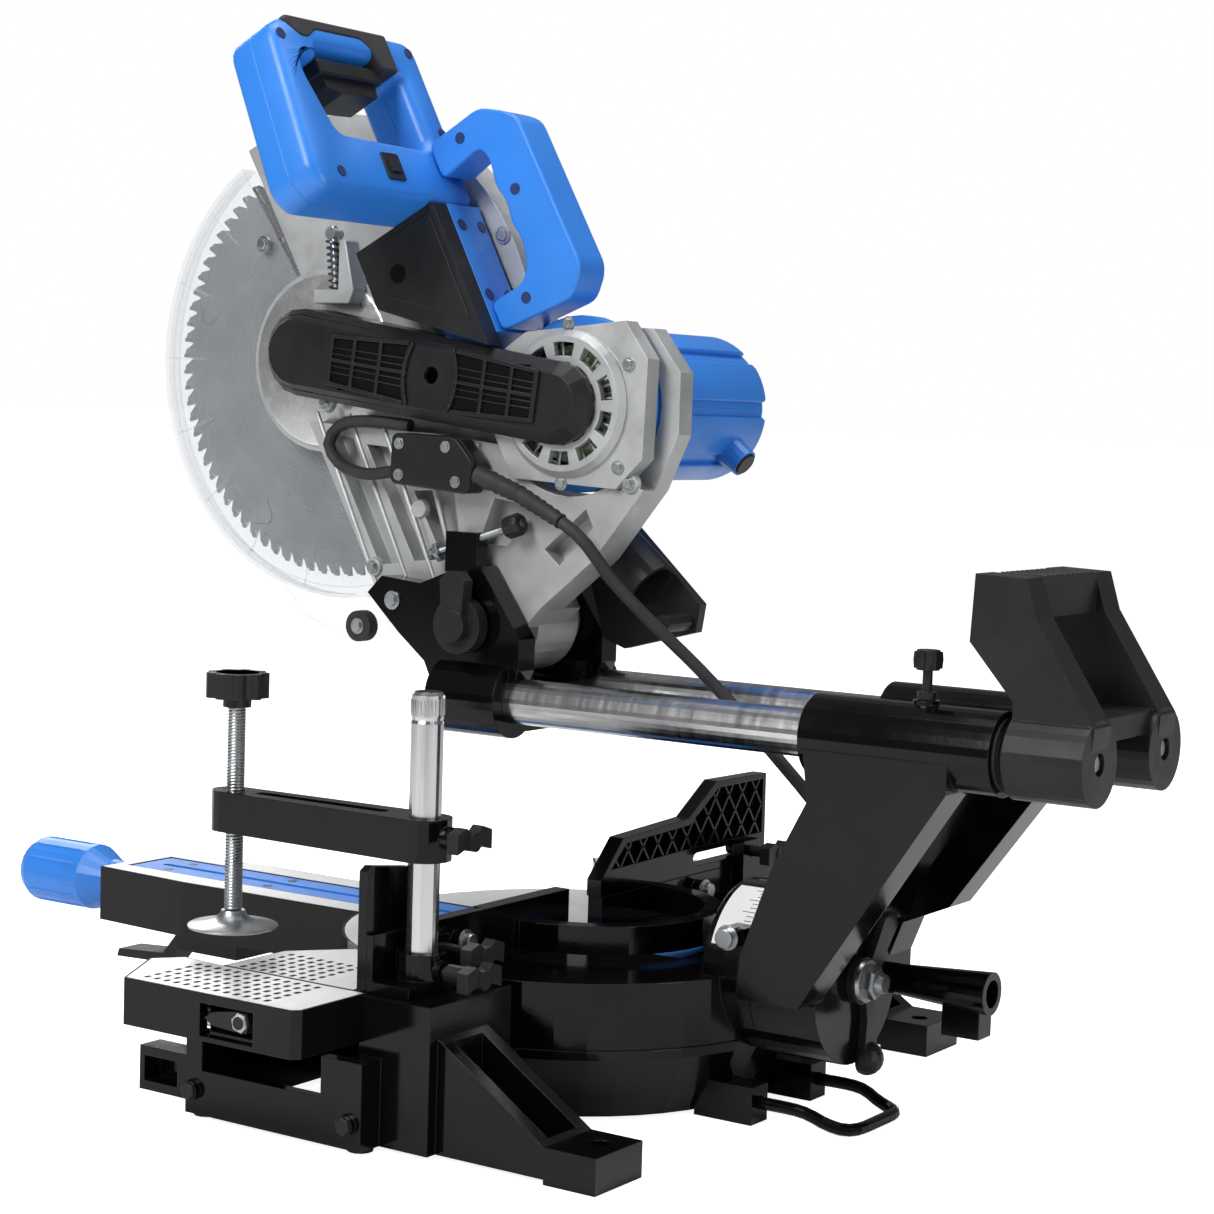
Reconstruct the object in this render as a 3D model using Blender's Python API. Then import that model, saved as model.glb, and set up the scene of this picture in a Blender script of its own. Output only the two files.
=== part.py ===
"""Sliding compound mitre saw with its own cast base, built in millimetres and scaled to metres.

X runs to the saw's right and X = 0 is the plane of the blade. Y runs to the rear and Y = 0 is the
face of the fence. Z = 0 is the floor under the base, below the pivot of the turntable.
"""

import math

import bmesh
import bpy
from mathutils import Vector

MM = 0.001
GAP = 0.3
CENTRE_Y = -58.0

# Table and base
TABLE_Z = 92.0
RING_TOP_Z = 50.0
RING_TOP_R = 158.0
RING_FOOT_R = 136.0
TURNTABLE_R = 157.0
WING_OUT_X = 233.5
WING_FRONT_Y = -106.0
END_FACE_X = 258.0
TABLE_END_X = 298.0

# Bevel drum and slide rails
DRUM_R = 54.0
DRUM_SPLIT_Y = 168.0
DRUM_REAR_Y = 215.0
RAIL_X = 50.0
RAIL_Z = 251.5
RAIL_R = 15.0
RAIL_FRONT_Y = -75.0
RAIL_REAR_Y = 380.0

# Head
PIVOT_Y = -55.0
PIVOT_Z = 300.0
ARBOR_Y = -213.0
ARBOR_Z = 473.0
BLADE_R = 152.5
BLADE_HALF = 1.3
MOTOR_Y = 10.0
MOTOR_Z = 448.0

# Handles stand on a line that leans back: S runs down it, N out of its rear side
LEAN_Y = -85.0
LEAN_Z = 572.0
LEAN_SIN = 0.466
LEAN_COS = 0.885

# Clamp
POST_X = 202.0
POST_Y = 25.0
SCREW_Y = -127.0

# Cord
CORD_R = 4.25
COIL_X = -352.0
COIL_Y = -11.0
COIL_MID_R = 48.0
COIL_TOP_Z = 17.9
COIL_LEAVE_R = 51.4
PLUG_Z = 13.6

PLACE = {}


# ---------------------------------------------------------------- frames and outlines


def along_x(a, b, c):
    return Vector((c, a, b))


def along_y(a, b, c):
    return Vector((a, c, b))


def along_z(a, b, c):
    return Vector((a, b, c))


def lean_point(x, s, n):
    """Place of a point given across the handle, down its line and out of its rear side."""
    return Vector((x, LEAN_Y + LEAN_SIN * s + LEAN_COS * n, LEAN_Z - LEAN_COS * s + LEAN_SIN * n))


def lean_side(s, n, x):
    return lean_point(x, s, n)


def arc(centre_a, centre_b, radius, start, end, steps):
    """Points on an arc, in degrees, both ends included."""
    points = []
    for i in range(steps + 1):
        angle = math.radians(start + (end - start) * i / steps)
        points.append((centre_a + radius * math.cos(angle), centre_b + radius * math.sin(angle)))
    return points


def circle(centre_a, centre_b, radius, steps=24):
    return arc(centre_a, centre_b, radius, 0.0, 360.0, steps)[:-1]


def rectangle(a0, a1, b0, b1):
    return [(a0, b0), (a1, b0), (a1, b1), (a0, b1)]


def rounded(a0, a1, b0, b1, radius, steps=4):
    """Rectangle with round corners."""
    points = []
    corners = ((a1, b1, 0), (a0, b1, 90), (a0, b0, 180), (a1, b0, 270))
    for a, b, start in corners:
        inner_a = a - radius if a == a1 else a + radius
        inner_b = b - radius if b == b1 else b + radius
        points += arc(inner_a, inner_b, radius, start, start + 90, steps)
    return points


def ring_sector(centre_a, centre_b, inner, outer, start, end, steps):
    """Outline between two radii and two angles."""
    return arc(centre_a, centre_b, outer, start, end, steps) + arc(
        centre_a, centre_b, inner, end, start, steps
    )


def mirrored(outline):
    return [(-a, b) for a, b in outline]


# ---------------------------------------------------------------- shapes, as bmeshes in millimetres


def close_up(shape):
    bmesh.ops.recalc_face_normals(shape, faces=shape.faces)
    return shape


def loft(outlines, heights, frame):
    """Solid through outlines of equal point count, each at its height."""
    shape = bmesh.new()
    rings = []
    for outline, height in zip(outlines, heights):
        rings.append([shape.verts.new(frame(a, b, height)) for a, b in outline])
    for lower, upper in zip(rings, rings[1:]):
        count = len(lower)
        for i in range(count):
            j = (i + 1) % count
            shape.faces.new((lower[i], lower[j], upper[j], upper[i]))
    shape.faces.new(rings[0])
    shape.faces.new(rings[-1])
    return close_up(shape)


def prism(outline, low, high, frame):
    return loft([outline, outline], [low, high], frame)


def box(x0, x1, y0, y1, z0, z1):
    return prism(rectangle(x0, x1, y0, y1), z0, z1, along_z)


def lathe(profile, centre, frame, sides=32):
    """Closed profile of (radius, height) points turned about the frame's third axis."""
    shape = bmesh.new()
    rings = []
    for radius, height in profile:
        if radius == 0:
            rings.append([shape.verts.new(frame(centre[0], centre[1], height))])
            continue
        rings.append(
            [
                shape.verts.new(frame(a, b, height))
                for a, b in circle(centre[0], centre[1], radius, sides)
            ]
        )
    for lower, upper in zip(rings, rings[1:] + rings[:1]):
        if len(lower) == 1 and len(upper) == 1:
            continue
        for i in range(sides):
            j = (i + 1) % sides
            corners = [lower[i % len(lower)], lower[j % len(lower)]]
            corners += [upper[j % len(upper)], upper[i % len(upper)]]
            face = []
            for corner in corners:
                if corner not in face:
                    face.append(corner)
            shape.faces.new(face)
    return close_up(shape)


def rod(start, end, radius, end_radius=None, sides=24):
    """Round bar or cone between two points."""
    start = Vector(start)
    end = Vector(end)
    end_radius = radius if end_radius is None else end_radius
    along = (end - start).normalized()
    across = along.orthogonal().normalized()
    other = along.cross(across)
    shape = bmesh.new()
    rings = []
    for centre, size in ((start, radius), (end, end_radius)):
        ring = []
        for a, b in circle(0, 0, size, sides):
            ring.append(shape.verts.new(centre + across * a + other * b))
        rings.append(ring)
    for i in range(sides):
        j = (i + 1) % sides
        shape.faces.new((rings[0][i], rings[0][j], rings[1][j], rings[1][i]))
    shape.faces.new(rings[0])
    shape.faces.new(rings[1])
    return close_up(shape)


def ball(centre, radius, squash=1.0):
    shape = bmesh.new()
    bmesh.ops.create_uvsphere(shape, u_segments=16, v_segments=10, radius=radius)
    for corner in shape.verts:
        corner.co = Vector((corner.co.x, corner.co.y, corner.co.z * squash)) + Vector(centre)
    return close_up(shape)


def both_sides(make):
    """The shapes that make(side) returns for the right and for the left."""
    shapes = []
    for side in (1, -1):
        shapes += make(side)
    return shapes


# ---------------------------------------------------------------- objects


def material(name, colour, roughness, metallic=0.0, alpha=1.0):
    if name in bpy.data.materials:
        return bpy.data.materials[name]
    made = bpy.data.materials.new(name)
    made.use_nodes = True
    shader = made.node_tree.nodes["Principled BSDF"]
    shader.inputs["Base Color"].default_value = (*colour, 1.0)
    shader.inputs["Roughness"].default_value = roughness
    shader.inputs["Metallic"].default_value = metallic
    shader.inputs["Alpha"].default_value = alpha
    return made


def black_paint():
    return material("black_paint", (0.012, 0.012, 0.014), 0.32)


def black_plastic():
    return material("black_plastic", (0.022, 0.022, 0.024), 0.5)


def black_rubber():
    return material("black_rubber", (0.018, 0.018, 0.02), 0.75)


def blue_plastic():
    return material("blue_plastic", (0.03, 0.2, 0.72), 0.4)


def cast_aluminium():
    return material("cast_aluminium", (0.62, 0.63, 0.64), 0.45, 0.85)


def chrome():
    return material("chrome", (0.75, 0.75, 0.77), 0.12, 1.0)


def zinc_steel():
    return material("zinc_steel", (0.66, 0.67, 0.68), 0.3, 1.0)


def blade_steel():
    return material("blade_steel", (0.7, 0.7, 0.71), 0.3, 1.0)


def clear_plastic():
    return material("clear_plastic", (0.85, 0.87, 0.9), 0.08, 0.0, 0.3)


def add_axis(name, place, parent=None):
    """Empty at a joint's axis. Its place is in millimetres in the frame of the whole saw."""
    axis = bpy.data.objects.new(name, None)
    bpy.context.scene.collection.objects.link(axis)
    axis.empty_display_size = 0.03
    PLACE[name] = Vector(place)
    axis.parent = parent
    if parent is None:
        axis.location = (0.0, -CENTRE_Y * MM, 0.0)
    else:
        axis.location = (PLACE[name] - PLACE[parent.name]) * MM
    return axis


def temporary(shape):
    mesh = bpy.data.meshes.new("shape")
    shape.to_mesh(mesh)
    shape.free()
    helper = bpy.data.objects.new("shape", mesh)
    helper.hide_render = True
    helper.display_type = "WIRE"
    bpy.context.scene.collection.objects.link(helper)
    return helper


def combine(shapes, cuts):
    """One mesh: the union of the shapes without the cuts."""
    helpers = [temporary(shape) for shape in shapes + cuts]
    body = helpers[0]
    for index, helper in enumerate(helpers[1:], 1):
        step = body.modifiers.new("step", "BOOLEAN")
        step.operation = "UNION" if index < len(shapes) else "DIFFERENCE"
        step.solver = "EXACT"
        step.object = helper
    graph = bpy.context.evaluated_depsgraph_get()
    mesh = bpy.data.meshes.new_from_object(body.evaluated_get(graph))
    for helper in helpers:
        spare = helper.data
        bpy.data.objects.remove(helper)
        bpy.data.meshes.remove(spare)
    return mesh


def add_solid(name, axis, surface, shapes, cuts=()):
    """Named sub-part whose origin is on its joint's axis."""
    mesh = combine(list(shapes), list(cuts))
    for corner in mesh.vertices:
        corner.co = (corner.co - PLACE[axis.name]) * MM
    mesh.materials.clear()
    mesh.materials.append(surface)
    mesh.shade_smooth()
    mesh.set_sharp_from_angle(angle=math.radians(32))
    solid = bpy.data.objects.new(name, mesh)
    bpy.context.scene.collection.objects.link(solid)
    solid.parent = axis
    return solid


def smooth_route(route, spacing):
    """Points a set distance apart on a smooth curve through the route's points."""
    route = [Vector(point) for point in route]
    padded = [route[0] * 2 - route[1], *route, route[-1] * 2 - route[-2]]
    fine = []
    for p0, p1, p2, p3 in zip(padded, padded[1:], padded[2:], padded[3:]):
        for step in range(24):
            t = step / 24
            point = p1 * 2 + (p2 - p0) * t
            point += (p0 * 2 - p1 * 5 + p2 * 4 - p3) * t * t
            point += (p1 * 3 - p0 - p2 * 3 + p3) * t * t * t
            fine.append(point / 2)
    fine.append(route[-1])
    travelled = [0.0]
    for before, after in zip(fine, fine[1:]):
        travelled.append(travelled[-1] + (after - before).length)
    count = max(2, round(travelled[-1] / spacing))
    points = []
    index = 0
    for step in range(count + 1):
        wanted = travelled[-1] * step / count
        while index < len(fine) - 2 and travelled[index + 1] < wanted:
            index += 1
        share = (wanted - travelled[index]) / (travelled[index + 1] - travelled[index])
        points.append(fine[index].lerp(fine[index + 1], min(1.0, share)))
    return points


def add_tube(name, axis, surface, route, radius, spacing):
    """Bent bar or cable as a curve with a round bevel."""
    data = bpy.data.curves.new(name, "CURVE")
    data.dimensions = "3D"
    data.bevel_depth = radius * MM
    data.bevel_resolution = 3
    data.use_fill_caps = True
    points = smooth_route(route, spacing)
    spline = data.splines.new("POLY")
    spline.points.add(len(points) - 1)
    for target, point in zip(spline.points, points):
        target.co = (*((point - PLACE[axis.name]) * MM), 1.0)
    data.materials.append(surface)
    tube = bpy.data.objects.new(name, data)
    bpy.context.scene.collection.objects.link(tube)
    tube.parent = axis
    return tube


# ---------------------------------------------------------------- base


def base_side(side):
    """Wing, end frame, column, rear web and foot on one side."""
    ring_arc = arc(0, 0, TURNTABLE_R + 1.5, 3.6, -28.3, 8)
    wing = ring_arc + [(173, -104), (176, WING_FRONT_Y)]
    wing += [(WING_OUT_X, WING_FRONT_Y), (WING_OUT_X, 10)]
    web = [(58, 3), (58, 75), (140, 22), (176, 22), (176, 0), (140, 0), (140, 3)]
    end = [(-113, 3), (26, 3), (26, 56), (-5, 56), (-5, 31), (-100, 31), (-100, 56), (-113, 56)]
    foot = rounded(183, 232, 140, 176, 8, 3)

    def on_side(outline):
        return outline if side > 0 else mirrored(outline)

    def block(x0, x1, y0, y1, z0, z1):
        return box(min(side * x0, side * x1), max(side * x0, side * x1), y0, y1, z0, z1)

    def plate(outline, x0, x1):
        return prism(outline, min(side * x0, side * x1), max(side * x0, side * x1), along_x)

    shapes = [
        prism(on_side(wing), TABLE_Z - 8, TABLE_Z, along_z),
        block(159, 240, 9, 62, 3, TABLE_Z),
        block(138, 165, 14, 58, 3, RING_TOP_Z),
        block(100, 255, -112, -101, 3, 49),
        block(177, 233, -106, -101, 45, 86),
        plate(end, 250, END_FACE_X),
        block(205, 255, 9, 26, 3, 56),
        block(205, 231, -99, -85, 62, 85),
        block(205, 231, -15, 10, 62, 85),
        block(205, 231, -102, -96, 45, 86),
        plate(web, 183, 232),
        prism(on_side(foot), 0, 21, along_z),
        block(240, END_FACE_X, -152, -110, 11, 39),
        block(28, 48, 128, 170, 0, 24),
    ]
    for y in (-107, 16):
        shapes.append(rod((side * 245, y, 0), (side * 245, y, 6), 8, sides=12))
        shapes.append(rod((side * 255, y, 18), (side * 262, y, 18), 6.5, sides=12))
    cuts = [
        block(167, 232, 17, 55, -5, 84),
        block(193, 222, 66, 136, 10, 90),
        rod((side * 203, 160, -5), (side * 203, 160, 30), 6, sides=16),
        block(244, 262, -148, -120, 17, 33),
        rod((side * 38, 118, 13), (side * 38, 180, 13), 4.5, sides=16),
        rod((side * 195, -92, 70), (side * 240, -92, 70), 5.4, sides=16),
        rod((side * 195, -6, 70), (side * 240, -6, 70), 5.4, sides=16),
        prism(on_side(rounded(222, 246, -60, -30, 5, 2)), 60, 61, along_z),
    ]
    return shapes, cuts


def add_base(root):
    ring = [
        (8.5, RING_TOP_Z),
        (RING_TOP_R, RING_TOP_Z),
        (RING_TOP_R, 44),
        (RING_FOOT_R, 3),
        (RING_FOOT_R - 7, 3),
        (RING_TOP_R - 8, 43),
        (24, 43),
        (24, 8),
        (8.5, 8),
    ]
    shapes = [lathe(ring, (0, 0), along_z, 48)]
    cuts = []
    for side in (1, -1):
        more, fewer = base_side(side)
        shapes += more
        cuts += fewer
    add_solid("base_casting", root, black_paint(), shapes, cuts)
    bolt = [(0, 2.5), (13, 2.5), (13, 7.5), (8, 7.5), (8, 64), (0, 64)]
    add_solid("pivot_bolt", root, zinc_steel(), [lathe(bolt, (0, 0), along_z, 16)])


def add_fence(root):
    arch = arc(0, 13, 88, 0, 180, 18) + arc(0, 13, 76, 180, 0, 18)
    low = TABLE_Z + GAP
    shapes = [
        box(26, 233, 0.5, 12, low, 127),
        box(-283, -14, 0.5, 12, low, 115.4),
        prism(arch, 97, 115.5, along_z),
        box(76, 88, 8, 16, 97, 115.5),
        box(-88, -76, 8, 16, 97, 115.4),
        box(160, 233, 11, 40, low, 99),
        box(-235, -160, 11, 40, low, 99),
        rod((POST_X, POST_Y, low), (POST_X, POST_Y, 115), 15, sides=24),
        rod((POST_X, 35, 104), (POST_X, 43, 104), 7, sides=16),
        box(-206, -184, 12.4, 22, low, 134),
        box(-206, -184, 11, 22, low, 114),
        rod((150, 11, 112), (150, 19, 112), 6.5, sides=12),
        rod((-135, 11, 105), (-135, 19, 105), 6.5, sides=12),
        box(167, 184, 11, 19, low, 120),
    ]
    cuts = [
        box(118, 240, -2, 7.5, 90, 130),
        rod((POST_X, POST_Y, 80), (POST_X, POST_Y, 130), 10.4, sides=24),
        rod((175, -2, 111.5), (175, 30, 111.5), 4.4, sides=16),
        rod((-195, -2, 126), (-195, 40, 126), 4.4, sides=16),
        rod((POST_X, 20, 104), (POST_X, 50, 104), 4.3, sides=12),
    ]
    add_solid("fence_casting", root, black_paint(), shapes, cuts)


def wing_knob(x, y0, y1, z, bolt_front):
    """Two-winged lock knob on a bolt that runs along Y."""
    half = [(3, 5), (8, 9), (17, 6), (17, -6), (8, -3)]
    wings = half + [(-a, b) for a, b in reversed(half)]
    outline = [(x + a, z + b) for a, b in wings]
    return [
        rod((x, bolt_front, z), (x, y1 - 2, z), 3.9, sides=12),
        rod((x, y0, z), (x, y1, z), 6, sides=16),
        prism(outline, y1 - 9, y1 - 1, along_y),
    ]


def add_fence_slides(root):
    right = add_axis("fence_right_slide", (205, 4, 130), root)
    plate = [(120, 92.6), (233, 92.6), (233, 165), (228, 168), (190, 163)]
    plate += [(178, 150), (178, 126.5), (120, 126.5)]
    slot = prism(rounded(130, 180, 106.8, 116.2, 4.6, 3), -3, 9, along_y)
    body = prism(plate, 0.5, 7.1, along_y)
    add_solid("fence_right", right, black_paint(), [body], [slot])
    left = add_axis("fence_left_slide", (-150, 6, 140), root)
    plate = [(-12, 115.8), (-12, 127), (-38, 153), (-123, 157)]
    plate += [(-160, 180), (-230, 179), (-231, 115.8)]
    slot = prism(rounded(-200, -130, 121.3, 130.7, 4.6, 3), -3, 20, along_y)
    hollow = [(-24, 133), (-42, 149), (-124, 152), (-162, 175)]
    hollow += [(-226, 175), (-226, 135), (-130, 135)]
    recess = prism(hollow, 7, 20, along_y)
    body = prism(plate, 0.5, 12, along_y)
    add_solid("fence_left", left, black_paint(), [body], [slot, recess])
    knobs = (
        ("fence_knob_right", 175, 42, 56, 111.5, 1.5),
        ("fence_knob_left", -195, 32, 48, 126, 2.0),
        ("post_knob", POST_X, 46, 74, 104, 36.0),
    )
    for name, x, y0, y1, z, front in knobs:
        axis = add_axis(name + "_turn", (x, y1, z), root)
        add_solid(name, axis, black_plastic(), wing_knob(x, y0, y1, z, front))


def ext_table(side):
    """Sliding end table: deck, skirt, recess for the lever."""
    deck = [(234, 9), (293, 9), (TABLE_END_X, 4), (TABLE_END_X, -128)]
    deck += [(249, -154), (231, -140), (234, -105)]
    inner = [(228, 3), (288, 3), (291, 0), (291, -124), (249, -146), (238, -138), (228, -120)]
    if side < 0:
        deck, inner = mirrored(deck), mirrored(inner)
    low, high = sorted((side * 284, side * 302))
    cuts = [prism(inner, 60, 86.5, along_z), box(low, high, -66, -24, 66, 86)]
    near, far = sorted((side * 280, side * 284))
    wall = box(near, far, -70, -20, 63, 88)
    return [prism(deck, 63, TABLE_Z, along_z)], cuts, wall


def add_ext_tables(root):
    for side, word in ((1, "right"), (-1, "left")):
        axis = add_axis("ext_table_%s_slide" % word, (side * 265, -60, 78), root)
        shapes, cuts, wall = ext_table(side)
        body = combine(shapes, cuts)
        joined = bmesh.new()
        joined.from_mesh(body)
        bpy.data.meshes.remove(body)
        bolt_hole = rod((side * 270, -36, 78), (side * 290, -36, 78), 4.4, sides=16)
        add_solid("ext_table_" + word, axis, black_paint(), [joined, wall], [bolt_hole])
        route = [
            (side * 169, -92, 70),
            (side * 215, -92, 70),
            (side * 262, -92, 70),
            (side * 273, -81, 70),
            (side * 273, -49, 70),
            (side * 273, -17, 70),
            (side * 262, -6, 70),
            (side * 215, -6, 70),
            (side * 169, -6, 70),
        ]
        add_tube("ext_rail_" + word, axis, zinc_steel(), route, 5, 9)
        turn = add_axis("ext_lever_%s_turn" % word, (side * 292, -36, 78), axis)
        low, high = sorted((side * 288, side * 296))
        lever = [(-41, 72), (-31, 72), (-29, 78), (-31, 84), (-41, 84)]
        lever += [(-58, 81), (-64, 77), (-58, 73)]
        bolt = rod((side * 281, -36, 78), (side * 298, -36, 78), 4, sides=12)
        shapes = [prism(lever, low, high, along_x), bolt]
        add_solid("ext_lever_" + word, turn, black_plastic(), shapes)


def add_anti_tip(root):
    axis = add_axis("anti_tip_slide", (0, 180, 13), root)
    half = [(38, 136, 13), (38, 170, 13), (38, 200, 12.5), (35, 216, 7), (32, 226, 4.6), (24, 233, 4.4)]
    route = half + [(0, 234, 4.4)] + [(-x, y, z) for x, y, z in reversed(half)]
    add_tube("anti_tip_bar", axis, black_paint(), route, 4, 6)


# ---------------------------------------------------------------- clamp


def add_clamp(root):
    post = [(0, 93), (10, 93), (10, 254), (9.3, 256), (10, 258), (10, 271), (8.5, 273), (0, 273)]
    add_solid("clamp_post", root, chrome(), [lathe(post, (POST_X, POST_Y), along_z, 24)])
    lift = add_axis("clamp_arm_slide", (POST_X, POST_Y, 184), root)
    outline = arc(POST_X, POST_Y, 17, 0, 180, 8) + arc(POST_X, -130, 12.5, 180, 360, 8)
    slot = rounded(POST_X - 4.5, POST_X + 4.5, -108, -4, 4.4, 3)
    shapes = [prism(outline, 171, 197, along_z), rod((POST_X, 36, 186), (POST_X, 47, 186), 7, sides=16)]
    cuts = [
        rod((POST_X, POST_Y, 160), (POST_X, POST_Y, 210), 10.4, sides=24),
        prism(slot, 165, 205, along_z),
        rod((POST_X, SCREW_Y, 160), (POST_X, SCREW_Y, 210), 6.4, sides=16),
        rod((POST_X, 20, 186), (POST_X, 60, 186), 4.3, sides=12),
    ]
    add_solid("clamp_arm", lift, black_paint(), shapes, cuts)
    turn = add_axis("clamp_arm_knob_turn", (POST_X, 60, 186), lift)
    knob = wing_knob(POST_X, 50, 64, 186, 36.0)
    add_solid("clamp_arm_knob", turn, black_plastic(), knob)
    press = add_axis("clamp_pad_slide", (POST_X, SCREW_Y, 112), lift)
    pad = [(0, 108), (33, 108), (35, 110), (33, 112), (12, 115), (9, 120), (0, 120)]
    add_solid("clamp_pad", press, zinc_steel(), [lathe(pad, (POST_X, SCREW_Y), along_z, 32)])
    wheel = add_axis("clamp_wheel_turn", (POST_X, SCREW_Y, 260), press)
    screw = [(0, 120.4), (6, 120.4), (6, 249.6), (0, 249.6)]
    add_solid("clamp_screw", wheel, zinc_steel(), [lathe(screw, (POST_X, SCREW_Y), along_z, 16)])
    outline = []
    for i in range(36):
        radius = 20.0 if i % 4 < 2 else 17.2
        angle = math.radians(i * 10)
        outline.append((POST_X + radius * math.cos(angle), SCREW_Y + radius * math.sin(angle)))
    hub = rod((POST_X, SCREW_Y, 250), (POST_X, SCREW_Y, 258), 9, sides=16)
    add_solid("clamp_handwheel", wheel, black_plastic(), [prism(outline, 256, 272, along_z), hub])


# ---------------------------------------------------------------- turntable


def add_turntable(root):
    turn = add_axis("mitre_turn", (0, 0, 0), root)
    disc = [(8.6, TABLE_Z), (TURNTABLE_R, TABLE_Z), (TURNTABLE_R, RING_TOP_Z + GAP)]
    disc += [(TURNTABLE_R - 7, RING_TOP_Z + GAP), (TURNTABLE_R - 7, TABLE_Z - 12)]
    disc += [(24, TABLE_Z - 12), (24, RING_TOP_Z + 0.8), (8.6, RING_TOP_Z + 0.8)]
    arm = [(45, -140), (47, -314), (41, -403), (-41, -403), (-47, -314), (-45, -140)]
    hollow = [(38, -162), (40, -278), (-40, -278), (-38, -162)]
    knob_mount = rod((0, -400, 73), (0, -408, 73), 17, sides=24)
    shapes = [
        lathe(disc, (0, 0), along_z, 48),
        prism(arm, 52, TABLE_Z, along_z),
        rod((0, 134, TABLE_Z), (0, DRUM_SPLIT_Y - GAP, TABLE_Z), DRUM_R, sides=40),
        box(-50, 50, 104, 140, 52, TABLE_Z),
        box(-20, 20, -345, -285, 34, 60),
        rod((54, 159, 121), (66, 159, 121), 5.5, sides=12),
        box(40, 58, 152, 166, 100, 126),
        knob_mount,
    ]
    cuts = [
        prism(hollow, 45, TABLE_Z - 11, along_z),
        prism(circle(0, 0, 160, 48), -20, RING_TOP_Z + GAP, along_z),
        box(-22.4, 22.4, -391.4, 98, TABLE_Z - 5, TABLE_Z + 5),
        box(-5, 5, -379, 62, 66, TABLE_Z + 5),
        rod((0, -380, 73), (0, -420, 73), 8.4, sides=16),
        box(-13, 13, -360, -330, 30, 50),
    ]
    add_solid("turntable_casting", turn, black_paint(), shapes, cuts)
    top = TABLE_Z - 0.4
    insert = rounded(-22, 22, -391, 97.5, 3, 2)
    kerf = rounded(-3, 3, -377, 60, 2, 2)
    add_solid(
        "kerf_insert",
        turn,
        blue_plastic(),
        [prism(insert, TABLE_Z - 4.7, top, along_z)],
        [prism(kerf, 80, 100, along_z)],
    )
    grip = add_axis("mitre_knob_turn", (0, -470, 72), turn)
    profile = [(0, -509), (21, -509), (25, -502), (25, -446), (16, -428)]
    profile += [(13, -408.5), (8, -408.3), (8, -382), (0, -382)]
    add_solid("mitre_knob", grip, blue_plastic(), [lathe(profile, (0, 73), along_y, 24)])
    detent = add_axis("detent_lever_turn", (0, -345, 40), turn)
    lever = [(-350, 34), (-338, 34), (-334, 45), (-350, 46)]
    lever += [(-366, 27), (-411, 24), (-413, 18), (-362, 20)]
    add_solid("detent_lever", detent, black_plastic(), [prism(lever, -12, 12, along_x)])
    return turn


# ---------------------------------------------------------------- bevel arm


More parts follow.
